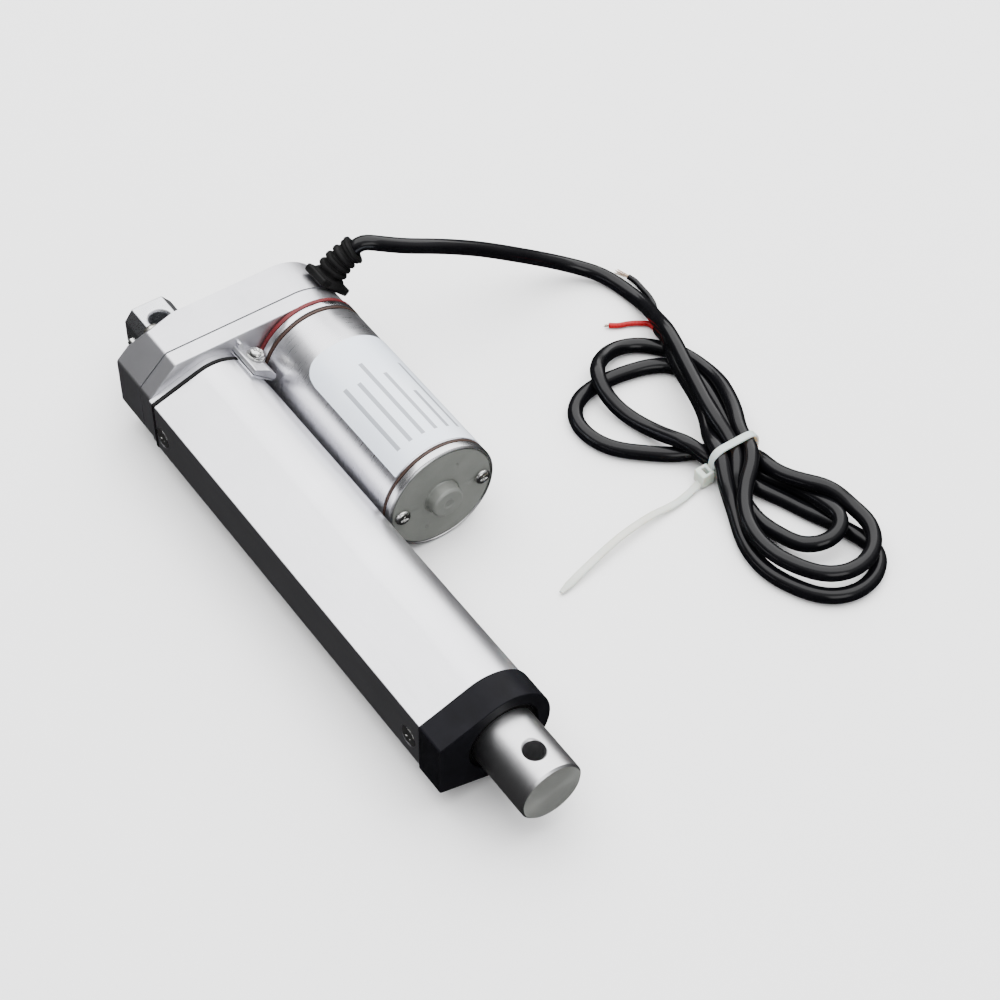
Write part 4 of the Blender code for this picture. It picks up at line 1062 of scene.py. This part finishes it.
def build_motor():
    motor_ring("red_gasket", "motor_gasket", 0.0187, 0.0080, red_fibre, 0.00015)
    motor_ring("flange_disc", "motor_flange", 0.0187, 0.0022, flange_metal, 0.00035)
    motor_ring("brown_ring_rear", "rear_insulating_ring", 0.0186, 0.0170, brown_fibre,
               0.00015)
    motor_ring("brown_ring_front", "front_insulating_ring", 0.0186, 0.0170, brown_fibre,
               0.00015)
    motor_ring("can_body", "motor_can", 0.01855, 0.0170, can_metal, 0.0003)
    rear, boss_front = span("motor_end_cap")
    face = -0.09455
    radius = 0.0187
    plate = [(rear + 0.0002, 0.0), (rear + 0.0002, 0.0176), (face - 0.0005, 0.0176), (face - 0.0002, 0.0173),
             (face - 0.0002, 0.0062), (face - 0.0006, 0.0059), (face - 0.0002, 0.0056),
             (boss_front - 0.0006, 0.0053),
             (boss_front, 0.0047), (boss_front, 0.0018), (boss_front - 0.0003, 0.0014),
             (boss_front - 0.0003, 0.0)]
    end = lathe("end_plate", softened(plate, 0.00022, closed=False), MOTOR_Y, segments=160)
    for side in (-1, 1):
        cut(end, lathe(f"end_hole_{side}", [(rear - 0.002, 0.0015), (face + 0.002, 0.0015)],
                       MOTOR_Y + side * 0.0142, 0, 32))
    for angle in (62, 242):
        y = MOTOR_Y + 0.0118 * math.cos(math.radians(angle))
        z = 0.0118 * math.sin(math.radians(angle))
        cut(end,
            lathe(f"end_dimple_{angle}",
                  [(face - 0.0009, 0.0002), (face - 0.0001, 0.0009), (face + 0.001, 0.0012)],
                       y, z, 24))
    show(settled(end), end_paint, "housing", ("motor_end_cap",))
    rim = [(rear, 0.0177), (rear, radius), (face - 0.0006, radius), (face, radius - 0.0005), (face, 0.0179),
           (face - 0.0003, 0.0177)]
    show(lathe("end_rim", rim, MOTOR_Y, closed=True, soften=0.0002, segments=160), rim_metal, "housing", ())
    for index, side in enumerate((-1, 1), start=1):
        pan_head(f"end_screw_{index}", (face, MOTOR_Y + side * 0.0142, 0), (1, 0, 0), 0.0026, 0.0014, 0.0012,
                 (f"motor_screw_{index}",), zinc)


def build_label():
    """A thin sticker wrapped round the can, with one rounded corner."""
    rear, front = span("motor_label")
    inner, outer = 0.01856, 0.01872
    start, end = math.radians(-20), math.radians(136)
    rows, columns = 80, 48
    work = bmesh.new()
    grid = {}
    corner = 0.007
    for side, radius in enumerate((inner, outer)):
        for i in range(rows + 1):
            for j in range(columns + 1):
                u = i / rows
                v = j / columns
                arc_length = (end - start) * outer
                s, x = u * arc_length, rear + (front - rear) * v
                over = s - (arc_length - corner)
                if over > 0:
                    edge = rear + corner - math.sqrt(max(corner ** 2 - over ** 2, 0))
                    x = edge + (front - edge) * v
                angle = start + s / outer
                grid[side, i,
                     j] = work.verts.new((x, MOTOR_Y + radius * math.cos(angle), radius * math.sin(angle)))
    for i in range(rows):
        for j in range(columns):
            for side in (0, 1):
                work.faces.new([grid[side, a, b] for a,
                                b in ((i, j), (i + 1, j), (i + 1, j + 1), (i, j + 1))])
    for i in range(rows):
        for j in (0, columns):
            work.faces.new([grid[0, i, j], grid[0, i + 1, j], grid[1, i + 1, j], grid[1, i, j]])
    for j in range(columns):
        for i in (0, rows):
            work.faces.new([grid[0, i, j], grid[0, i, j + 1], grid[1, i, j + 1], grid[1, i, j]])
    label = from_bmesh("sticker_sheet", work, sharp=50)
    show(label, sticker, "housing", ("motor_label",))


# ---------------------------------------------------------------- inside

def build_inside():
    """The CAD pieces inside keep their shape and get real finishes; the screw gets its thread."""
    finishes = {
        "guide_bush": acetal, "drive_nut": acetal, "limit_switch_board": board_green,
        "limit_switch_front": cap_plastic, "limit_switch_rear": cap_plastic, "screw_bearing": ground_steel,
        "screw_gear": gear_steel, "idler_small_gear": gear_steel, "idler_large_gear": acetal,
        "idler_axle": ground_steel, "motor_pinion": brass, "motor_shaft": ground_steel,
        "motor_armature": laminated, "motor_commutator": copper, "brush_plate": phenolic,
        "motor_brush_1": carbon, "motor_brush_2": carbon, "motor_magnet_1": ferrite,
        "motor_magnet_2": ferrite,
    }
    for node, material in finishes.items():
        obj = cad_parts[node]
        obj.data.materials.clear()
        obj.data.materials.append(material)
    rear, front = span("lead_screw")
    pitch = 0.0020
    shoulder = -0.1666
    turns = int((front - 0.002 - shoulder) / pitch)
    steps = 28
    crest, root = 0.0050, 0.0042
    loops = []
    shape = ((0.0, root), (0.30, root), (0.42, crest), (0.58, crest), (0.70, root))
    total = turns * steps
    work = bmesh.new()
    rows = []
    for i in range(total + 1):
        angle = 2 * math.pi * i / steps
        x = shoulder + 0.0005 + pitch * i / steps
        rows.append([work.verts.new((x + f * pitch, r * math.cos(angle), r * math.sin(angle))) for f,
                     r in shape])
    for a, b in zip(rows, rows[1:]):
        for p in range(len(shape) - 1):
            work.faces.new((a[p], a[p + 1], b[p + 1], b[p]))
    for i in range(total - steps + 1):
        j = i + steps
        if j < total:
            work.faces.new((rows[i][-1], rows[i + 1][-1], rows[j + 1][0], rows[j][0]))
    thread = from_bmesh("screw_thread", work, sharp=40)
    show(thread, ground_steel, "screw", ())
    core = [(rear, 0.0), (rear, 0.0036), (rear + 0.0004, 0.0040), (shoulder, 0.0040), (shoulder, 0.0050),
            (shoulder + 0.0005, 0.0050), (shoulder + 0.0006, 0.0041), (front - 0.0010, 0.0041),
            (front, 0.0032),
            (front, 0.0)]
    show(lathe("screw_core", core, segments=48), ground_steel, "screw", ("lead_screw",))


# ---------------------------------------------------------------- studio

def add_area(name, place, target, size, power, colour=(1, 1, 1)):
    light = bpy.data.lights.new(name, "AREA")
    light.shape = "RECTANGLE"
    light.size, light.size_y = size
    light.energy = power
    light.color = colour
    obj = bpy.data.objects.new(name, light)
    bpy.context.scene.collection.objects.link(obj)
    obj.location = place
    obj.rotation_euler = (Vector(target) - Vector(place)).to_track_quat("-Z", "Y").to_euler()
    return obj


def build_studio():
    floor = block("floor", (-25, -25, -0.02), (25, 25, -0.0002), (0, 0, 0))
    paper = surface("floor_paper", (0.93, 0.93, 0.93), (0.92, 0.92, 0.92), (0.85, 0.95), 0.0, 300,
                    relief=0.02)
    floor.data.materials.append(paper)
    floor.visible_glossy = False
    world = bpy.data.worlds.new("studio")
    bpy.context.scene.world = world
    world.use_nodes = True
    nodes, links = world.node_tree.nodes, world.node_tree.links
    background = nodes["Background"]
    place = nodes.new("ShaderNodeTexCoord")
    tilt = nodes.new("ShaderNodeVectorMath")
    tilt.operation = "DOT_PRODUCT"
    ramp = nodes.new("ShaderNodeValToRGB")
    shift = nodes.new("ShaderNodeMapRange")
    shift.inputs["From Min"].default_value = -1
    shift.inputs["From Max"].default_value = 1
    tilt.inputs[1].default_value = (0.0, 0.22, 1.0)
    links.new(place.outputs["Generated"], tilt.inputs[0])
    links.new(tilt.outputs["Value"], shift.inputs["Value"])
    links.new(shift.outputs["Result"], ramp.inputs["Fac"])
    stops = ((0.0, 0.035), (0.46, 0.035), (0.56, 0.07), (0.68, 0.16), (0.82, 0.85), (1.0, 1.25))
    elements = ramp.color_ramp.elements
    while len(elements) < len(stops):
        elements.new(0.5)
    for element, (position, value) in zip(elements, stops):
        element.position = position
        element.color = (value, value, value * 1.02, 1)
    links.new(ramp.outputs["Color"], background.inputs["Color"])
    background.inputs["Strength"].default_value = 1.0
    wash = add_area("wash", (0, 0, 1.8), (0, 0, 0), (2.6, 2.6), 60)
    wash.visible_glossy = False
    add_area("overhead", (-0.30, 0.25, 0.95), (0, 0.03, 0), (1.7, 1.5), 26)
    add_area("front_fill", (0.9, -0.1, 0.5), (0, 0, 0.02), (0.6, 0.5), 3.0)
    add_area("back_strip", (-0.6, 0.9, 0.45), (0, 0.05, 0.02), (0.9, 0.35), 3.0)


add_camera()
build_cord_group()
build_tube()
build_cap()
build_rod()
build_rear_housing()
build_front_housing()
build_clevis()
build_motor()
build_label()
build_inside()
build_studio()
